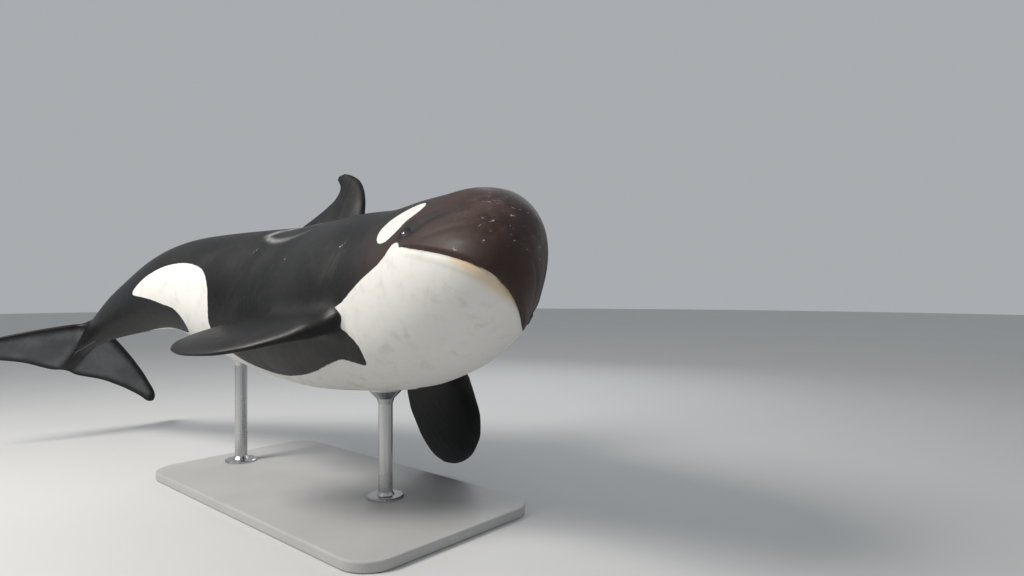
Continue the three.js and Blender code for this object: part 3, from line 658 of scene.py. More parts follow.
def lid_rings(side):
    """The almond is an ellipse flattened towards its corners. The lid's height falls from the eyeball's
    surface to the skin as a bell curve, with a rolled edge, a soft fold over the eye and creases whose
    distance from the edge and depth drift round the eye."""
    patch = skin_patch(EYE_STATION, math.radians(EYE_TURN) * side, EYE_TILT)
    theta = np.arange(LID_STEPS) * 2 * np.pi / LID_STEPS
    inner = (LID_HALF_LENGTH * np.cos(theta),
             LID_HALF_HEIGHT * np.sin(theta) * (0.72 + 0.28 * np.abs(np.sin(theta))))
    outer = (LID_OUTER_LENGTH * np.cos(theta), LID_OUTER_HEIGHT * np.sin(theta))
    ball = np.sqrt(EYE_RADIUS ** 2 - inner[0] ** 2 - inner[1] ** 2) - EYE_SUNK + LID_GAP

    def heights(x, y, base, share):
        rim = ball[:, None] - base + LID_LIFT * smooth_step(0, 0.05, share)
        drift = (0.030 * np.sin(2 * theta + 0.7) + 0.018 * np.sin(5 * theta + 2.0))[:, None]
        broken = (0.62 + 0.38 * np.sin(3 * theta + 1.1))[:, None]
        crease = -LID_CREASES[0] * bump(share - 0.25 - drift, 0.035)
        crease = crease - LID_CREASES[1] * broken * bump(share - 0.40 + drift, 0.045)
        crease = crease - LID_CREASES[2] * (1 - broken) * bump(share - 0.56 - drift, 0.05)
        upper = 0.55 + 0.45 * np.sin(theta + 0.3)[:, None]
        fold = LID_FOLD * bump(share - 0.33 - drift, 0.06) * np.maximum(np.sin(theta + 0.3), 0)[:, None]
        return rim * bump(share, 0.34) + crease * upper + fold - RIM_SUNK * smooth_step(0.8, 1.0, share)

    floor = np.linspace(-0.016, -0.024, len(FLOOR_SHARES))
    return patch_ring(patch, inner, outer, np.linspace(0, 1, LID_SECTION) ** 1.5, heights, FLOOR_SHARES, floor)


def closed_ring(name, rings, part):
    """A ring of sections that closes on itself both ways."""
    quads = quad_indices(*rings.shape[:2], closed=True)
    return outward(mesh_object(name, rings.reshape(-1, 3), quads, part=part))


def ball_rings(patch, radius, depth, rings=48, around=72):
    """Latitude circles of a ball below a place on the skin, from its outer pole to its inner one."""
    polar = np.linspace(0.004, np.pi - 0.004, rings)[:, None]
    angle = np.arange(around) * 2 * np.pi / around
    shape = np.stack(np.broadcast_arrays(np.sin(polar) * np.cos(angle), np.sin(polar) * np.sin(angle),
                                         np.cos(polar)), axis=-1)
    axes = np.stack([patch["x"], patch["y"], patch["out"]])
    return patch["at"] - patch["out"] * depth + radius * (shape @ axes)


SIDES = {"right": -1, "left": 1}
eye_patches = {name: skin_patch(EYE_STATION, math.radians(EYE_TURN) * side, EYE_TILT)
               for name, side in SIDES.items()}
lid_pieces = [closed_ring("lid_" + name, lid_rings(side), PARTS.index("lids")) for name, side in SIDES.items()]
sockets = [loft("socket_" + name, ball_rings(patch, EYE_RADIUS + 0.0006, EYE_SUNK, 24, 40), PARTS.index("lids"))
           for name, patch in eye_patches.items()]
print("lids round openings of", 2000 * LID_HALF_LENGTH, "by", 2000 * LID_HALF_HEIGHT, "mm")

# %% Blowhole
BLOW_RADIUS, BLOW_HALF_ARC = 0.038, math.radians(74)
BLOW_HALF_SLIT, BLOW_HOLLOW, BLOW_DEPTH = 0.0032, 0.0150, 0.030
BLOW_OUTER_LENGTH, BLOW_OUTER_WIDTH, BLOW_FLOOR = 0.090, 0.098, 0.026


def crescent(theta, half_width):
    """A closed crescent: an arc behind its centre, followed there and back. The cosine of the angle
    says how far along the arc, and the sine how far to its outer or inner side."""
    angle = -np.cos(theta) * BLOW_HALF_ARC
    radius = BLOW_RADIUS + half_width * np.sin(theta)
    return 0.6 * BLOW_RADIUS - radius * np.cos(angle), radius * np.sin(angle)


blow_patch = skin_patch(BLOW_STATION, math.radians(BLOW_TURN))
blow_patch["y"] = np.cross(blow_patch["out"], blow_patch["x"])
theta = np.arange(120) * 2 * np.pi / 120


def blow_heights(x, y, base, share):
    """A rounded lip at the slit, a swell outside it and the plain skin under the outer rim."""
    lip = -0.004 * bump(share, 0.05)
    swell = 0.009 * smooth_step(0, 0.12, share) * bump(share, 0.42)
    return lip + swell - 0.0015 * bump(share - 0.3, 0.05) - RIM_SUNK * smooth_step(0.85, 1.0, share)


blow_ring = patch_ring(blow_patch, crescent(theta, BLOW_HALF_SLIT),
                       (-BLOW_OUTER_LENGTH * np.sin(theta), -BLOW_OUTER_WIDTH * np.cos(theta)),
                       np.linspace(0, 1, 30) ** 1.5, blow_heights, FLOOR_SHARES,
                       np.full(len(FLOOR_SHARES), -BLOW_FLOOR))
blowhole_piece = closed_ring("blowhole_lip", blow_ring, PARTS.index("blowhole"))
hollow_x, hollow_y = crescent(theta, BLOW_HOLLOW)
hollow_levels = np.linspace(0.03, -BLOW_DEPTH, 6)[:, None]
hollow_rings = (blow_patch["at"] + (hollow_x[:, None] * blow_patch["x"] + hollow_y[:, None] * blow_patch["y"])
                + hollow_levels[..., None] * blow_patch["out"])
hollow = loft("blowhole_hollow", hollow_rings, PARTS.index("blowhole"))
print("blowhole slit", round(2 * BLOW_RADIUS * BLOW_HALF_ARC * 1000), "mm along its arc")

# %% [markdown]
# ## One skin
# The pieces are joined with booleans: first the sockets and the blowhole's hollow are cut out of the
# body, then the fins and rings are added. The joints would be sharp creases, so the points near them
# are relaxed: each moves towards the mean of its neighbours, by a weight that falls off with the
# distance from the joint, measured along the edges. That rolls a fillet into each root, as flesh has.

# %% Join


def combine(base, pieces, operation):
    """One boolean modifier over a collection of closed meshes, applied; the pieces are removed."""
    group = bpy.data.collections.new("operands")
    for piece in pieces:
        group.objects.link(piece)
    cut = base.modifiers.new("join", "BOOLEAN")
    cut.operand_type = "COLLECTION"
    cut.collection = group
    cut.operation = operation
    cut.solver = "MANIFOLD"
    depsgraph = bpy.context.evaluated_depsgraph_get()
    joined = bpy.data.meshes.new_from_object(base.evaluated_get(depsgraph))
    base.modifiers.clear()
    base.data = joined
    for piece in pieces:
        bpy.data.objects.remove(piece)
    bpy.data.collections.remove(group)
    return base


def read_array(items, field, width, kind):
    """One field of a mesh's items as a numpy array."""
    flat = np.empty(len(items) * width, kind)
    items.foreach_get(field, flat)
    return flat.reshape(-1, width) if width > 1 else flat


def parts_of_points(data):
    """Lowest and highest part number among the faces round each point."""
    part = np.repeat(read_array(data.polygons, "material_index", 1, np.int32),
                     read_array(data.polygons, "loop_total", 1, np.int32))
    corner = read_array(data.loops, "vertex_index", 1, np.int32)
    low, high = np.full(len(data.vertices), len(PARTS)), np.full(len(data.vertices), -1)
    np.minimum.at(low, corner, part)
    np.maximum.at(high, corner, part)
    return low, high


for slot in part_materials[1:]:
    body.data.materials.append(slot)
combine(body, sockets + [hollow], "DIFFERENCE")
print("after the cuts:", len(body.data.vertices), "points")
combine(body, [dorsal, flukes, blowhole_piece] + flippers + lid_pieces, "UNION")
low_part, high_part = parts_of_points(body.data)
print("after the joins:", len(body.data.vertices), "points,",
      {part: int((high_part == number).sum()) for number, part in enumerate(PARTS)})

# %% Fillets
# for each part, how wide its root is rolled into the body, in metres, and in how many rounds
FILLETS = {"dorsal": (0.10, 26), "flippers": (0.13, 40), "flukes": (0.14, 30), "lids": (0.012, 6),
           "blowhole": (0.010, 5)}


def spread_distance(points, ends, seeds, reach):
    """Length along the edges from the nearest seed: each round passes every point's best on to its
    neighbours, until nothing within reach gets shorter."""
    lengths = np.linalg.norm(points[ends[:, 0]] - points[ends[:, 1]], axis=1)
    best = np.full(len(points), np.inf)
    best[seeds] = 0
    while True:
        before = best.copy()
        for a, b in (ends.T, ends.T[::-1]):
            near = best[b] + lengths < reach
            np.minimum.at(best, a[near], (best[b] + lengths)[near])
        if np.array_equal(before, best):
            return best


def relax(points, ends, weight, rounds):
    """Moves points towards the mean of their neighbours by their weight, over and over."""
    count = np.bincount(ends.ravel(), minlength=len(points))[:, None]
    size = len(points)
    for _ in range(rounds):
        total = np.stack([np.bincount(ends[:, 0], points[ends[:, 1], k], size)
                          + np.bincount(ends[:, 1], points[ends[:, 0], k], size) for k in range(3)], axis=1)
        points = points + weight[:, None] * (total / count - points)
    return points


points = read_points(body.data)
edge_ends = read_array(body.data.edges, "vertices", 2, np.int32)
seam_distances = {}
for part, (reach, rounds) in FILLETS.items():
    number = PARTS.index(part)
    seeds = (high_part == number) & (low_part < number)
    distance = spread_distance(points, edge_ends, seeds, reach)
    points = relax(points, edge_ends, 0.9 * smooth_step(1, 0, np.minimum(distance / reach, 1)), rounds)
    seam_distances[part] = np.minimum(distance, reach)
    print(part, "fillet:", int(seeds.sum()), "seam points,", int((distance < reach).sum()), "moved")
body.data.vertices.foreach_set("co", points.astype(np.float32).ravel())
body.data.update()

# %% [markdown]
# ## Where a point is on the animal
# The markings follow the body, so they are drawn on a chart of it: how far along the spine, and how far
# round from the back towards the belly. Every point of the finished skin gets its chart place, by
# walking along the spine until the point lies square to it. Both sides share one chart.

# %% Chart
CHART_RADIUS = 0.45


def body_coordinates(points):
    """Station and turn of each point: from the nearest step of the spine, repeated moves along it by
    the point's remaining distance ahead. The turn is the angle in the section's own ellipse."""
    parts = [((chunk[:, None] - SPINE_PLACES[None]) ** 2).sum(-1).argmin(1)
             for chunk in np.array_split(points, 24)]
    station = np.concatenate(parts) / SPINE_STEPS
    for _ in range(14):
        place, forward, left, up = frame_at(station)
        ahead = ((points - place) * forward).sum(-1)
        station = np.clip(station - 0.8 * ahead / LENGTH, 0.0001, 1.06)
    place, forward, left, up = frame_at(station)
    top, bottom, width = section_at(station)
    leftward, upward = ((points - place) * left).sum(-1), ((points - place) * up).sum(-1)
    return station, np.arctan2(leftward / width, upward / np.where(upward > 0, top, bottom))


station, turn = body_coordinates(points)
chart_x, chart_y = station * LENGTH, np.abs(turn) * CHART_RADIUS
print("stations from", round(float(station.min()), 4), "to", round(float(station.max()), 3))

# %% [markdown]
# ## Markings
# An orca's white has crisp, curved edges. A texture would need a picture; instead each patch is a
# closed smooth curve through a few named places on the chart, and every skin point stores its signed
# distance to the curve. The material turns the distance into an edge as soft as it should be, finer
# than the grid itself. The chin's edge follows the mouth line exactly.

# %% Outlines
# rows are station and degrees from the back's midline
MOUTH_STATIONS = np.linspace(0.0080, GAPE - 0.001, 16)
EYE_PATCH = [[0.134, 57.5], [0.1215, 60.5], [0.113, 66.5], [0.1145, 75], [0.1205, 84], [0.130, 90], [0.1425, 90],
             [0.1545, 86], [0.1625, 79.5], [0.161, 72], [0.1525, 64.5], [0.144, 59.5]]
THROAT = [[0.0925, 101.2], [0.0958, 97.6], [0.1, 95.6], [0.1045, 95.6], [0.1095, 97.8], [0.1135, 100.8],
          [0.1185, 105.5], [0.132, 110.5], [0.165, 114], [0.202, 118], [0.224, 120],
          [0.228, 124], [0.212, 133], [0.197, 145], [0.199, 154], [0.208, 160], [0.224, 155], [0.246, 150],
          [0.274, 152], [0.315, 158], [0.354, 162], [0.42, 166], [0.47, 163], [0.505, 155], [0.524, 145]]
FLANK = [[0.531, 130], [0.531, 118], [0.538, 102], [0.557, 89], [0.584, 82], [0.625, 77], [0.671, 75], [0.706, 77],
         [0.729, 87], [0.691, 107], [0.651, 122], [0.614, 130], [0.595, 143], [0.599, 158], [0.625, 166],
         [0.68, 170], [0.735, 175], [0.778, 185], [0.778, 192], [0.40, 200], [0.02, 200], [0.0095, 198],
         [0.0068, 190]]
# how far the dark round a flipper's root reaches into the white, in metres
FLIPPER_DARK = 0.03


def smooth_curve(rows, closed=True, steps=6):
    """Catmull-Rom curve: between two rows, a cubic whose slope at each row is half the way from the
    row before to the row after it. Rows in degrees become places on the chart."""
    rows = np.array(rows) * [LENGTH, math.radians(CHART_RADIUS)]
    count = len(rows)
    start = np.arange(count if closed else count - 1)
    pick = [(start + k) % count if closed else np.clip(start + k, 0, count - 1) for k in (-1, 0, 1, 2)]
    p0, p1, p2, p3 = (rows[i][:, None] for i in pick)
    t = (np.arange(steps) / steps)[None, :, None]
    curve = p1 + t * (p2 - p0) / 2 + t ** 2 * (p0 - 2.5 * p1 + 2 * p2 - p3 / 2)
    curve = curve + t ** 3 * (1.5 * (p1 - p2) + (p3 - p0) / 2)
    return np.concatenate([curve.reshape(-1, 2), rows[:1] if closed else rows[-1:]])


def distance_to(curve, x, y):
    """Distance from each chart place to the nearest point of the curve's segments."""
    best = np.full(x.shape, np.inf)
    for (ax, ay), (bx, by) in zip(curve[:-1], curve[1:]):
        length = (bx - ax) ** 2 + (by - ay) ** 2 + 1e-12
        t = np.clip(((x - ax) * (bx - ax) + (y - ay) * (by - ay)) / length, 0, 1)
        np.minimum(best, (x - ax - t * (bx - ax)) ** 2 + (y - ay - t * (by - ay)) ** 2, out=best)
    return np.sqrt(best)


def inside_distance(curve, x, y):
    """Distance to a closed curve, positive inside: a place is inside if a ray from it crosses the
    curve an odd number of times."""
    crossings = np.zeros(x.shape, int)
    for (ax, ay), (bx, by) in zip(curve[:-1], curve[1:]):
        if ay != by:
            crossings += ((ay > y) != (by > y)) & (x < ax + (y - ay) * (bx - ax) / (by - ay))
    return distance_to(curve, x, y) * np.where(crossings % 2 == 1, 1, -1)


mouth_shares = mouth_height(MOUTH_STATIONS) / section_at(MOUTH_STATIONS)[1]
mouth_turns = np.degrees(np.arccos(np.clip(mouth_shares, -1, 1)))
belly_rows = np.stack([MOUTH_STATIONS, mouth_turns], axis=-1).tolist() + THROAT + FLANK
white = np.maximum(inside_distance(smooth_curve(belly_rows), chart_x, chart_y),
                   inside_distance(smooth_curve(EYE_PATCH), chart_x, chart_y))
on_body = np.isin(high_part, [PARTS.index(part) for part in ("body", "lids", "blowhole")])
from_flipper = seam_distances["flippers"] * np.where(on_body, 1, -1)
white = np.where(on_body, np.minimum(white, from_flipper - FLIPPER_DARK),
                 np.minimum(from_flipper, 0) - FLIPPER_DARK)
print("white share of the points:", round(float((white > 0).mean()), 3))

# %% [markdown]
# The saddle behind the dorsal fin is a thin pale hook, soft at its edges, and a fainter pale streak
# along the keel to the flukes is a painted highlight. The flukes are pale below with a dark margin, and
# dark above; their pale is painted a dark grey, as painted shade.

# %% Saddle and flukes
# each stroke's line, its width in metres, its strength at the faint end and what is added at the
# other, and the stations between which it grows: the saddle's upper and lower arm, and the keel's
# painted highlight
STROKES = [
    ([[0.479, 48], [0.470, 41], [0.452, 36], [0.425, 34], [0.400, 36], [0.380, 37]],
     0.034, 0.30, 0.60, 0.375, 0.47),
    ([[0.479, 48], [0.472, 53], [0.455, 57], [0.43, 60], [0.393, 60], [0.360, 53]],
     0.018, 0.12, 0.75, 0.35, 0.46),
    # the keel's pale streak is a painted highlight
    ([[0.885, 156], [0.910, 157], [0.935, 156], [0.955, 146]], 0.015, 0.40, 0.0, 0.88, 0.96),
]
FLUKE_MARGIN, FLUKE_MIDDLE, FLUKE_TIP = 0.030, 0.045, 0.93

# the saddle's pale hook, and along the keel a painted highlight
saddle = np.zeros(len(points))
for line, width, faint, added, start, end in STROKES:
    away = distance_to(smooth_curve(line, closed=False), chart_x, chart_y)
    saddle = np.maximum(saddle, bump(away, width) * (faint + added * smooth_step(start, end, station)))
saddle = np.where(on_body, saddle, 0)

place, forward, left, up = frame_at(FLUKE_STATION)
fluke_reach = np.abs((points - place) @ left) / FLUKE_SPAN
fluke_at = FLUKE_STATION - (points - place) @ forward / LENGTH
held_reach = np.minimum(fluke_reach, 1)
margin = np.minimum(fluke_at - fluke_lead(held_reach), fluke_trail(held_reach) - fluke_at)
margin = margin * LENGTH - FLUKE_MARGIN
across_margin = np.minimum(fluke_reach * FLUKE_SPAN - FLUKE_MIDDLE, (FLUKE_TIP - fluke_reach) * FLUKE_SPAN)
margin = np.minimum(margin, across_margin)
below = (points - place) @ up < -0.002
pale_fluke = np.where((high_part == PARTS.index("flukes")) & below, margin, -0.03)


def store(made, name, values):
    """Puts one number per point into a named attribute of the mesh."""
    attribute = made.data.attributes.new(name, "FLOAT", "POINT")
    attribute.data.foreach_set("value", np.asarray(values, np.float32))


side = np.abs(turn)
radius = sum(section_at(station)[k] for k in (0, 2)) / 2
# Painted shade: the skin round the eye and along the furrow ahead of it is darkened, as if their hollows lay in
# shadow.
from_eye = np.hypot((station - EYE_STATION) * LENGTH, (side - math.radians(EYE_TURN)) * radius)
furrow = (side - np.interp(station, FURROW_STATIONS, FURROW_TURNS)) * radius
fade = smooth_step(0.03, 0.075, station) * smooth_step(0.112, 0.100, station)
under_lip = np.where(station < GAPE, white, 1.0)
marks = {
    "white": white,
    "saddle": saddle,
    "pale_fluke": pale_fluke,
    "along": chart_x,
    "round_x": CHART_RADIUS * np.sin(turn),
    "round_y": CHART_RADIUS * np.cos(turn),
    "chin": bump((station - 0.016) * LENGTH, 0.075) * bump(under_lip, 0.045),
    # painted shade round the eye and along its furrow
    "eye_painted_shade": np.clip(0.8 * bump(from_eye, 0.080) + 0.75 * fade * bump(furrow, 0.050), 0, 0.92),
    "melon": bump((station - 0.035) * LENGTH, 0.17) * bump(side - 0.5, 0.75) * smooth_step(0.0, 0.012, station),
}
for name, values in marks.items():
    store(body, name, values)
print("pale fluke points:", int((pale_fluke > 0).sum()))

# %% [markdown]
# ## Building materials
# A material is a tree of nodes. Two small helpers add a node and wire it in one call. Effects that
# several finishes share, such as mottling, streaks and scars, become node groups with named inputs.

# %% Node helpers


def add(tree, kind, sockets=None, **settings):
    """A node with its settings; sockets maps inputs to values or to other nodes' outputs."""
    made = tree.nodes.new(kind)
    for key, value in settings.items():
        setattr(made, key, value)
    for key, value in (sockets or {}).items():
        if isinstance(value, bpy.types.NodeSocket):
            tree.links.new(value, made.inputs[key])
        else:
            made.inputs[key].default_value = value
    return made


def figure(tree, operation, *values):
    """One arithmetic node; gives its output."""
    return add(tree, "ShaderNodeMath", dict(enumerate(values)), operation=operation).outputs[0]


def arrow(tree, operation, first, second, output=0):
    """One vector node; output 0 is a vector and 1 a number."""
    return add(tree, "ShaderNodeVectorMath", {0: first, 1: second}, operation=operation).outputs[output]


def times(tree, first, second):
    """The product of two values."""
    return figure(tree, "MULTIPLY", first, second)


def plus(tree, first, second):
    """The sum of two values."""
    return figure(tree, "ADD", first, second)


def rise(tree, value, low, high, to_low=0.0, to_high=1.0):
    """Smooth step of a value between two limits, scaled to the wanted range."""
    sockets = {"Value": value, "From Min": low, "From Max": high, "To Min": to_low, "To Max": to_high}
    return add(tree, "ShaderNodeMapRange", sockets, interpolation_type="SMOOTHSTEP").outputs[0]


def blend_colour(tree, share, first, second):
    """Mixes two colours; a colour may be a socket or three numbers."""
    four = [c if isinstance(c, bpy.types.NodeSocket) else (*c, 1) for c in (first, second)]
    return add(tree, "ShaderNodeMix", {0: share, 6: four[0], 7: four[1]}, data_type="RGBA").outputs[2]


def paint_over(tree, colour, layers):
    """Lays colours over the first one; each layer is a mask, its strength and its colour."""
    for mask, strength, layer in layers:
        colour = blend_colour(tree, times(tree, mask, strength), colour, layer)
    return colour


def bump_up(tree, shader, height, strength):
    """Lets a height in metres tilt the shader's normal."""
    sockets = {"Strength": strength, "Distance": 1.0, "Height": height}
    tree.links.new(add(tree, "ShaderNodeBump", sockets).outputs[0], shader.inputs["Normal"])


def new_material(name):
    """A material with its tree, its shader and the object's own coordinates."""
    material = bpy.data.materials.new(name)
    material.use_nodes = True
    tree = material.node_tree
    return material, tree, tree.nodes["Principled BSDF"], add(tree, "ShaderNodeTexCoord").outputs["Object"]


def grain(tree, vector, scale, detail=3.0, roughness=0.5, distortion=0.0):
    """Value of a noise texture, from 0 to 1."""
    sockets = {"Vector": vector, "Scale": scale, "Detail": detail, "Roughness": roughness,
               "Distortion": distortion}
    return add(tree, "ShaderNodeTexNoise", sockets).outputs[0]


def reading(tree, name):
    """A named attribute of the mesh."""
    return add(tree, "ShaderNodeAttribute", attribute_name=name).outputs["Fac"]


def make_group(name, inputs, outputs):
    """An empty node group with its sockets, given as name and kind, and default values for numbers."""
    group = bpy.data.node_groups.new(name, "ShaderNodeTree")
    for label, kind, value in inputs:
        socket = group.interface.new_socket(label, in_out="INPUT", socket_type="NodeSocket" + kind)
        if value is not None:
            socket.default_value = value
    for label, kind in outputs:
        group.interface.new_socket(label, in_out="OUTPUT", socket_type="NodeSocket" + kind)
    return group, group.nodes.new("NodeGroupInput").outputs, group.nodes.new("NodeGroupOutput").inputs


def use_group(tree, group, **sockets):
    """A group placed in a tree, its inputs named with underscores; gives its outputs."""
    made = add(tree, "ShaderNodeGroup", node_tree=group)
    for key, value in sockets.items():
        socket = made.inputs[key.replace("_", " ").capitalize()]
        if isinstance(value, bpy.types.NodeSocket):
            tree.links.new(value, socket)
        else:
            socket.default_value = value
    return made.outputs


# %% Shared effects
mottle, m_in, m_out = make_group("mottling", [("Vector", "Vector", None), ("Scale", "Float", 4.0),
                                              ("Low", "Float", 0.35), ("High", "Float", 0.65)], [("Mask", "Float")])
value = grain(mottle, m_in["Vector"], m_in["Scale"], 5.0, 0.6, 0.4)
mottle.links.new(rise(mottle, value, m_in["Low"], m_in["High"]), m_out["Mask"])

streaks, s_in, s_out = make_group("streaks", [("Vector", "Vector", None), ("Stretch", "Vector", (1.0, 1.0, 1.0)),
                                              ("Low", "Float", 0.5), ("High", "Float", 0.7)], [("Mask", "Float")])
stretched = arrow(streaks, "MULTIPLY", s_in["Vector"], s_in["Stretch"])
fine = grain(streaks, stretched, 1.0, 4.0, 0.65, 0.3)
where = grain(streaks, s_in["Vector"], 2.2, 2.0)
streaks.links.new(times(streaks, rise(streaks, fine, s_in["Low"], s_in["High"]),
                         rise(streaks, where, 0.42, 0.62)), s_out["Mask"])

scratch, h_in, h_out = make_group("scratches", [("Vector", "Vector", None), ("Scale", "Float", 12.0),
                                                ("Width", "Float", 0.012)], [("Mask", "Float")])
ridge = figure(scratch, "SUBTRACT", grain(scratch, h_in["Vector"], h_in["Scale"], 2.0), 0.5)
ridge = figure(scratch, "ABSOLUTE", ridge)
finer = times(scratch, h_in["Scale"], 3.1)
kept = rise(scratch, grain(scratch, h_in["Vector"], finer, 2.0), 0.60, 0.66)
scratch.links.new(times(scratch, rise(scratch, ridge, h_in["Width"], 0.0), kept), h_out["Mask"])

stroke, k_in, k_out = make_group("scar", [("Vector", "Vector", None), ("From", "Vector", (0.0, 0.0, 0.0)),
                                          ("To", "Vector", (1.0, 0.0, 0.0)), ("Width", "Float", 0.004)],
                                 [("Mask", "Float")])
ragged = add(stroke, "ShaderNodeTexNoise", {"Vector": k_in["Vector"], "Scale": 60.0, "Detail": 4.0})
ragged = ragged.outputs["Color"]
ragged = arrow(stroke, "MULTIPLY", arrow(stroke, "SUBTRACT", ragged, (0.5, 0.5, 0.5)), (0.034, 0.034, 0.034))
at = arrow(stroke, "SUBTRACT", arrow(stroke, "ADD", k_in["Vector"], ragged), k_in["From"])
span = arrow(stroke, "SUBTRACT", k_in["To"], k_in["From"])
share = arrow(stroke, "DOT_PRODUCT", at, span, 1)
share = figure(stroke, "DIVIDE", share, arrow(stroke, "DOT_PRODUCT", span, span, 1))
share = add(stroke, "ShaderNodeClamp", {0: share}).outputs[0]
nearest = add(stroke, "ShaderNodeVectorMath", {0: span, "Scale": share}, operation="SCALE").outputs[0]
away = arrow(stroke, "DISTANCE", at, nearest, 1)
middle = times(stroke, times(stroke, share, 4.0), figure(stroke, "SUBTRACT", 1.0, share))
broken = rise(stroke, grain(stroke, k_in["Vector"], 130.0, 3.0, 0.6), 0.30, 0.50)
width = times(stroke, k_in["Width"], figure(stroke, "POWER", middle, 0.5))
mask = rise(stroke, figure(stroke, "SUBTRACT", width, away), 0.0, times(stroke, k_in["Width"], 0.6))
stroke.links.new(times(stroke, mask, broken), k_out["Mask"])
print("groups:", [group.name for group in bpy.data.node_groups])

# %% [markdown]
# ## The skin's material
# Wet orca skin is smooth and rubbery: nearly black with a brown cast where light rakes over it, broken
# up by faint mottling, pale scuffs that lean round the flanks and small ragged scars. The white is
# warm and slightly soiled, most at the chin. Both are one material, so that their edge stays clean.
# The scars are short strokes between places on the skin, measured in the object's own coordinates.

# %% Skin material
# the third colour is painted shade, laid round the eye and along its furrow
BLACK_SKIN, GREY_SKIN, EYE_PAINTED_SHADE = (0.0050, 0.0050, 0.0054), (0.014, 0.014, 0.0145), (0.0062, 0.0060, 0.0058)
BROWN_SKIN, MELON_RED, SCUFF = (0.050, 0.027, 0.022), (0.110, 0.068, 0.062), (0.105, 0.088, 0.082)
WHITE_SKIN, SOILED_SKIN, CHIN_SKIN = (0.72, 0.705, 0.67), (0.55, 0.54, 0.495), (0.60, 0.42, 0.18)
# the saddle's grey also paints the highlight along the keel
SADDLE_AND_HIGHLIGHT_GREY, SCAR_GREY = (0.36, 0.355, 0.35), (0.52, 0.47, 0.45)
# the flukes' pale underside is painted in two dark greys, as painted shade
SHADED_FLUKE_GREY, SHADED_FLUKE_DARK = (0.13, 0.135, 0.145), (0.080, 0.084, 0.090)
# how soft and how uneven the white's edge is, and where the flukes' painted shade fades, in metres
EDGE_SOFT, EDGE_WOBBLE, FLUKE_EDGE = 0.0035, 0.010, (-0.015, 0.055)
PORE_HEIGHT, RIPPLE_HEIGHT, DIMPLE_HEIGHT = 0.00018, 0.0026, 0.0010
SCAR_DEPTH, HAIRLINE_DEPTH = 0.0012, 0.0004
# scars: from and to as station and degrees towards the left, and their width in metres
SCARS = [
    [0.037, -46, 0.034, -40, 0.0056], [0.031, -36, 0.029, -30, 0.0048], [0.027, -18, 0.026, -12, 0.0048],
    [0.028, -8, 0.027, -4, 0.004], [0.018, -20, 0.019, -12, 0.008], [0.0165, -68, 0.016, -60, 0.004],
    [0.0145, -50, 0.0145, -42, 0.0048], [0.021, -62, 0.019, -55, 0.004], [0.0075, -84, 0.0068, -76, 0.004],
    [0.005, 2, 0.006, 8, 0.0048], [0.0195, -116, 0.0215, -111, 0.0048], [0.023, -108, 0.0215, -111, 0.0032],
    [0.0125, -20, 0.010, -6, 0.0032], [0.242, -80, 0.236, -78, 0.0056], [0.239, -78, 0.231, -77, 0.0048],
    [0.359, -80, 0.356, -80, 0.0064], [0.045, 30, 0.050, 41, 0.004], [0.34, 60, 0.352, 66, 0.0048],
    [0.47, -66, 0.478, -72, 0.004], [0.063, 70, 0.060, 62, 0.004], [0.60, 58, 0.612, 62, 0.0048],
]

skin, tree, shader, place_in = new_material("orca_skin")
chart = add(tree, "ShaderNodeCombineXYZ", {0: reading(tree, "along"), 1: reading(tree, "round_x"),
                                           2: reading(tree, "round_y")}).outputs[0]


def mottled(scale, low, high):
    """Soft blotches on the skin: a noise of this scale between two limits."""
    return use_group(tree, mottle, vector=place_in, scale=scale, low=low, high=high)[0]


broad, small = mottled(3.2, 0.38, 0.66), mottled(26.0, 0.45, 0.75)
on_trunk = rise(tree, reading(tree, "along"), 0.45, 1.30)
leaning = add(tree, "ShaderNodeMapping", {"Vector": chart, "Rotation": (0, 0.45, 0.5)}).outputs[0]
scuffs = use_group(tree, streaks, vector=leaning, stretch=(34.0, 3.0, 3.0), low=0.52, high=0.80)[0]
scuffs = times(tree, scuffs, on_trunk)
hairline = use_group(tree, streaks, vector=leaning, stretch=(110.0, 5.0, 5.0), low=0.60, high=0.86)[0]
hairline = times(tree, hairline, on_trunk)

melon = reading(tree, "melon")
browned = times(tree, rise(tree, reading(tree, "along"), 1.25, 0.35), rise(tree, small, 0.0, 1.0, 0.75, 1.0))
clouds = times(tree, mottled(6.0, 0.42, 0.62), melon)
rubbed = times(tree, mottled(11.0, 0.50, 0.72), rise(tree, grain(tree, place_in, 70.0, 3.0, 0.7), 0.35, 0.60))
across_head = {"Vector": place_in, "Rotation": (0.4, 0.7, 0.3), "Scale": (1.6, 0.4, 1.6)}
leaning_head = add(tree, "ShaderNodeMapping", across_head).outputs[0]
scratched = use_group(tree, scratch, vector=leaning_head, scale=13.0, width=0.012)[0]
scratched = times(tree, scratched, rise(tree, melon, 0.0, 0.7, 0.12, 1.0))
# the saddle's pale grey, and a painted highlight along the keel
saddle_and_keel_highlight = times(tree, reading(tree, "saddle"),
                     rise(tree, grain(tree, chart, 14.0, 4.0, 0.7), 0.28, 0.62, 0.35, 0.85))

scars = 0.0
for from_station, from_turn, to_station, to_turn, scar_width in SCARS:
    ends = skin_point(np.array([from_station, to_station]), np.radians([from_turn, to_turn]))
    places = {"from": tuple(ends[0]), "to": tuple(ends[1])}
    mask = use_group(tree, stroke, vector=place_in, width=scar_width, **places)[0]
    scars = figure(tree, "MAXIMUM", mask, scars)

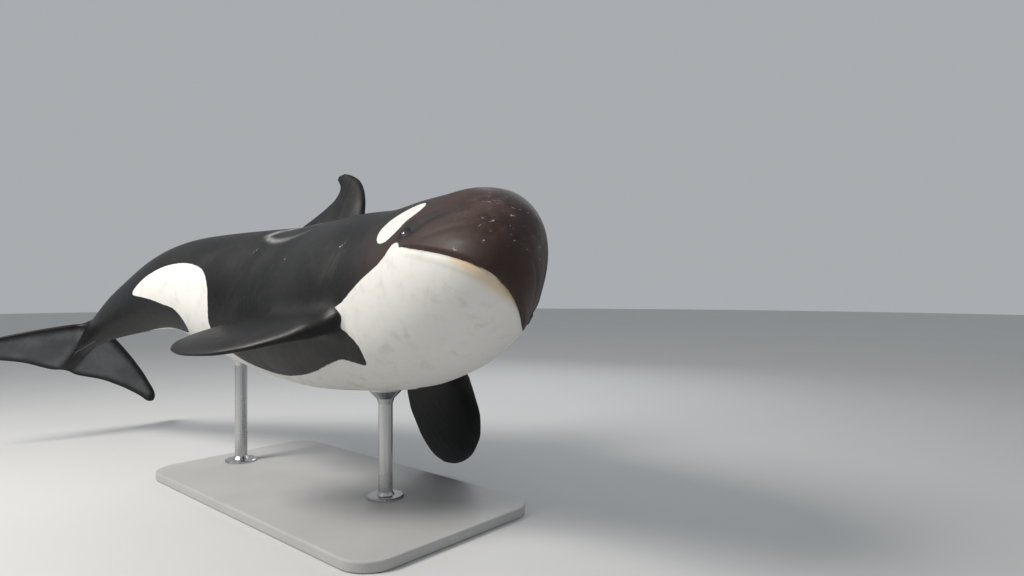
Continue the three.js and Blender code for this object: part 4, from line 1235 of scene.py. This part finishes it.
# %% Skin colours
# the layer read round the eye is painted shade
dark = paint_over(tree, BLACK_SKIN, [
    (broad, 0.8, GREY_SKIN), (browned, 1.0, BROWN_SKIN), (clouds, 0.55, MELON_RED),
    (times(tree, rubbed, melon), 1.0, SCUFF), (scratched, 0.7, SCAR_GREY), (scuffs, 0.22, SCUFF),
    (hairline, 0.22, SCUFF), (reading(tree, "eye_painted_shade"), 1.0, EYE_PAINTED_SHADE), (saddle_and_keel_highlight, 1.0, SADDLE_AND_HIGHLIGHT_GREY),
    (scars, 0.75, SCAR_GREY)])
pale = paint_over(tree, WHITE_SKIN, [
    (mottled(9.0, 0.48, 0.74), 0.6, SOILED_SKIN), (mottled(60.0, 0.62, 0.80), 0.25, SOILED_SKIN),
    (reading(tree, "chin"), 0.75, CHIN_SKIN)])

wobble = times(tree, figure(tree, "SUBTRACT", grain(tree, place_in, 38.0, 4.0, 0.6), 0.5), EDGE_WOBBLE)
white_share = rise(tree, plus(tree, reading(tree, "white"), wobble), -EDGE_SOFT, EDGE_SOFT)
fluke_edge = plus(tree, reading(tree, "pale_fluke"), times(tree, wobble, 3.0))
fluke_share = rise(tree, fluke_edge, *FLUKE_EDGE)
# painted shade: the flukes' pale underside gets a dark grey mottle
colour = blend_colour(tree, fluke_share, dark, blend_colour(tree, broad, SHADED_FLUKE_GREY, SHADED_FLUKE_DARK))
tree.links.new(blend_colour(tree, white_share, colour, pale), shader.inputs["Base Color"])

# %% Skin surface
rough = plus(tree, rise(tree, broad, 0.0, 1.0, 0.42, 0.50), times(tree, scuffs, 0.10))
rough = plus(tree, rough, plus(tree, times(tree, white_share, 0.06), times(tree, browned, 0.14)))
tree.links.new(rough, shader.inputs["Roughness"])
shader.inputs["Specular IOR Level"].default_value = 0.20
shader.inputs["Coat Weight"].default_value = 0.04
shader.inputs["Coat Roughness"].default_value = 0.28

pores = times(tree, grain(tree, place_in, 420.0, 3.0, 0.6), PORE_HEIGHT)
ripples = times(tree, times(tree, grain(tree, leaning, 16.0, 4.0, 0.55), on_trunk), RIPPLE_HEIGHT)
dimples = times(tree, grain(tree, place_in, 30.0, 4.0, 0.5), DIMPLE_HEIGHT)
cuts = plus(tree, times(tree, scars, -SCAR_DEPTH), times(tree, hairline, -HAIRLINE_DEPTH))
bump_up(tree, shader, plus(tree, plus(tree, pores, plus(tree, ripples, dimples)), cuts), 0.8)

body.data.materials.clear()
body.data.materials.append(skin)
body.data.polygons.foreach_set("material_index", np.zeros(len(body.data.polygons), np.int32))
body.data.update()
for leftover in part_materials:
    bpy.data.materials.remove(leftover)
body.name = "skin"
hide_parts("head", "lower_jaw", "chest", "torso", "loin", "tail_stock", "dorsal_fin", "flipper_right",
            "flipper_left", "fluke_right", "fluke_left")
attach(body, "root")
print("skin:", len(body.data.polygons), "faces, nodes in its material:", len(tree.nodes))

# %% [markdown]
# ## The eyes
# An orca's eye is small and dark, with a brown iris and a pupil drawn out sideways. It is a ball with a
# slight bulge for the cornea. Each point stores where it is across the front, so the iris can be drawn
# by the material, and a clear coat gives the wet glint.

# %% Eyes
CORNEA_BULGE = 0.0012
EYE_BROWN, EYE_DARK, EYE_RIM = (0.026, 0.013, 0.008), (0.007, 0.0045, 0.004), (0.030, 0.024, 0.022)
PUPIL_BLACK, PUPIL_FLATNESS = (0.0015, 0.0015, 0.0015), 1.7
# where the pupil and the iris end, in shares of the ball's radius
PUPIL_EDGE, IRIS_EDGE = (0.34, 0.29), (0.44, 0.52)
eye_material, tree, shader, place_in = new_material("orca_eye")
across, upward = reading(tree, "across"), reading(tree, "upward")
flat = times(tree, upward, PUPIL_FLATNESS)
radius, pupil = [figure(tree, "SQRT", plus(tree, times(tree, across, across), times(tree, rising, rising)))
                 for rising in (upward, flat)]
angle = figure(tree, "ARCTAN2", upward, across)
round_pupil = add(tree, "ShaderNodeCombineXYZ", {0: angle, 1: radius}).outputs[0]
iris = blend_colour(tree, grain(tree, round_pupil, 7.0, 4.0, 0.7), EYE_DARK, EYE_BROWN)
iris = blend_colour(tree, rise(tree, radius, *IRIS_EDGE), iris, EYE_RIM)
iris = blend_colour(tree, rise(tree, pupil, *PUPIL_EDGE), iris, PUPIL_BLACK)
tree.links.new(iris, shader.inputs["Base Color"])
shader.inputs["Roughness"].default_value = 0.22
shader.inputs["Coat Weight"].default_value = 0.6
shader.inputs["Coat Roughness"].default_value = 0.10

for name, patch in eye_patches.items():
    rings = ball_rings(patch, EYE_RADIUS, EYE_SUNK)
    centre = patch["at"] - patch["out"] * EYE_SUNK
    share_out = np.linalg.norm(np.cross(rings - centre, patch["out"]), axis=-1) / EYE_RADIUS
    facing = ((rings - centre) @ patch["out"] > 0)
    rings = rings + patch["out"] * (CORNEA_BULGE * bump(share_out, 0.42) * facing)[..., None]
    part_materials = [eye_material]
    ball = loft("eyeball_" + name, rings)
    from_centre = read_points(ball.data) - centre
    store(ball, "across", from_centre @ patch["x"] / EYE_RADIUS)
    store(ball, "upward", from_centre @ patch["y"] / EYE_RADIUS)
    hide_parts("eye_" + name)
    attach(ball, "root")
    print(ball.name, len(ball.data.polygons), "faces")

# %% [markdown]
# ## The stand
# The plate and rods are rigid and their solids are right, so they stay and only get finishes: a
# stone-grey eggshell paint on the plate, brushed steel on the rods with their feet and cups.

# %% Stand finishes
PAINT_GREY, PAINT_PALER, PAINT_TEXTURE = (0.40, 0.397, 0.388), (0.44, 0.437, 0.428), 0.00035
STEEL_GREY, STEEL_PALER, BRUSH_DEPTH = (0.50, 0.505, 0.51), (0.60, 0.60, 0.60), 0.00008

paint, tree, shader, place_in = new_material("stand_paint")
clouds = use_group(tree, mottle, vector=place_in, scale=1.6, low=0.3, high=0.7)[0]
tree.links.new(blend_colour(tree, clouds, PAINT_GREY, PAINT_PALER), shader.inputs["Base Color"])
tree.links.new(rise(tree, clouds, 0.0, 1.0, 0.46, 0.54), shader.inputs["Roughness"])
bump_up(tree, shader, times(tree, grain(tree, place_in, 260.0, 2.0), PAINT_TEXTURE), 0.6)

steel, tree, shader, place_in = new_material("stand_steel")
brushed = use_group(tree, streaks, vector=place_in, stretch=(14.0, 14.0, 900.0), low=0.35, high=0.7)[0]
tree.links.new(blend_colour(tree, brushed, STEEL_GREY, STEEL_PALER), shader.inputs["Base Color"])
tree.links.new(rise(tree, brushed, 0.0, 1.0, 0.24, 0.36), shader.inputs["Roughness"])
shader.inputs["Metallic"].default_value = 1.0
bump_up(tree, shader, times(tree, brushed, BRUSH_DEPTH), 0.5)


def give(node, material):
    """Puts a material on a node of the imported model."""
    data = frame["nodes"][node].data
    data.materials.clear()
    data.materials.append(material)


for node, material in {"stand_base": paint, "stand_rod_front": steel, "stand_rod_rear": steel}.items():
    give(node, material)
print("stand finishes:", paint.name, steel.name)

# %% [markdown]
# ## The studio
# A pale floor, an even grey room and three soft panels: a strong warm one high on the right side, where
# the photograph's light comes from, a weak one ahead and a cool one behind that draws the back's edge.

# %% Floor and light
FLOOR_RADIUS, FLOOR_GREY, FLOOR_PALER = 40, (0.57, 0.57, 0.565), (0.59, 0.59, 0.585)
ROOM_COLOUR, ROOM_STRENGTH = (0.86, 0.90, 0.94, 1), 0.46
# name, place, what it faces, size in metres, power in watts and colour
LIGHTS = [
    ("key", (-2.0, -4.8, 6.2), (0.2, 0, 1.3), 2.4, 610, (1.0, 0.96, 0.91)),
    ("fill", (6.5, -1.0, 3.0), (0.8, 0, 1.2), 4.0, 8, (0.86, 0.93, 1.0)),
    ("rim", (-2.5, 6.0, 4.5), (-0.5, 0, 1.4), 3.5, 90, (0.90, 0.95, 1.0)),
]

bpy.ops.mesh.primitive_circle_add(vertices=96, radius=FLOOR_RADIUS, fill_type="NGON", location=(0, 0, -0.001))
floor = bpy.context.object
floor.name = "floor"
floor_material, tree, shader, place_in = new_material("floor_paint")
clouds = use_group(tree, mottle, vector=place_in, scale=0.5, low=0.2, high=0.8)[0]
tree.links.new(blend_colour(tree, clouds, FLOOR_GREY, FLOOR_PALER), shader.inputs["Base Color"])
shader.inputs["Roughness"].default_value = 0.75
floor.data.materials.append(floor_material)

world = bpy.data.worlds.new("studio")
scene.world = world
world.use_nodes = True
room = world.node_tree.nodes["Background"].inputs
room["Color"].default_value, room["Strength"].default_value = ROOM_COLOUR, ROOM_STRENGTH
scene.view_settings.view_transform = "Standard"


def soft_light(name, at, aim, size, power, colour):
    """A square panel of light at a place, facing another."""
    data = bpy.data.lights.new(name, "AREA")
    data.shape, data.size, data.energy, data.color = "SQUARE", size, power, colour
    lamp = bpy.data.objects.new(name, data)
    lamp.location = at
    way = np.array(aim, float) - np.array(at, float)
    tilt = math.acos(-way[2] / np.linalg.norm(way))
    lamp.rotation_euler = (tilt, 0, math.atan2(way[1], way[0]) - math.pi / 2)
    scene.collection.objects.link(lamp)


for light in LIGHTS:
    soft_light(*light)
print("lights:", [light[0] for light in LIGHTS])
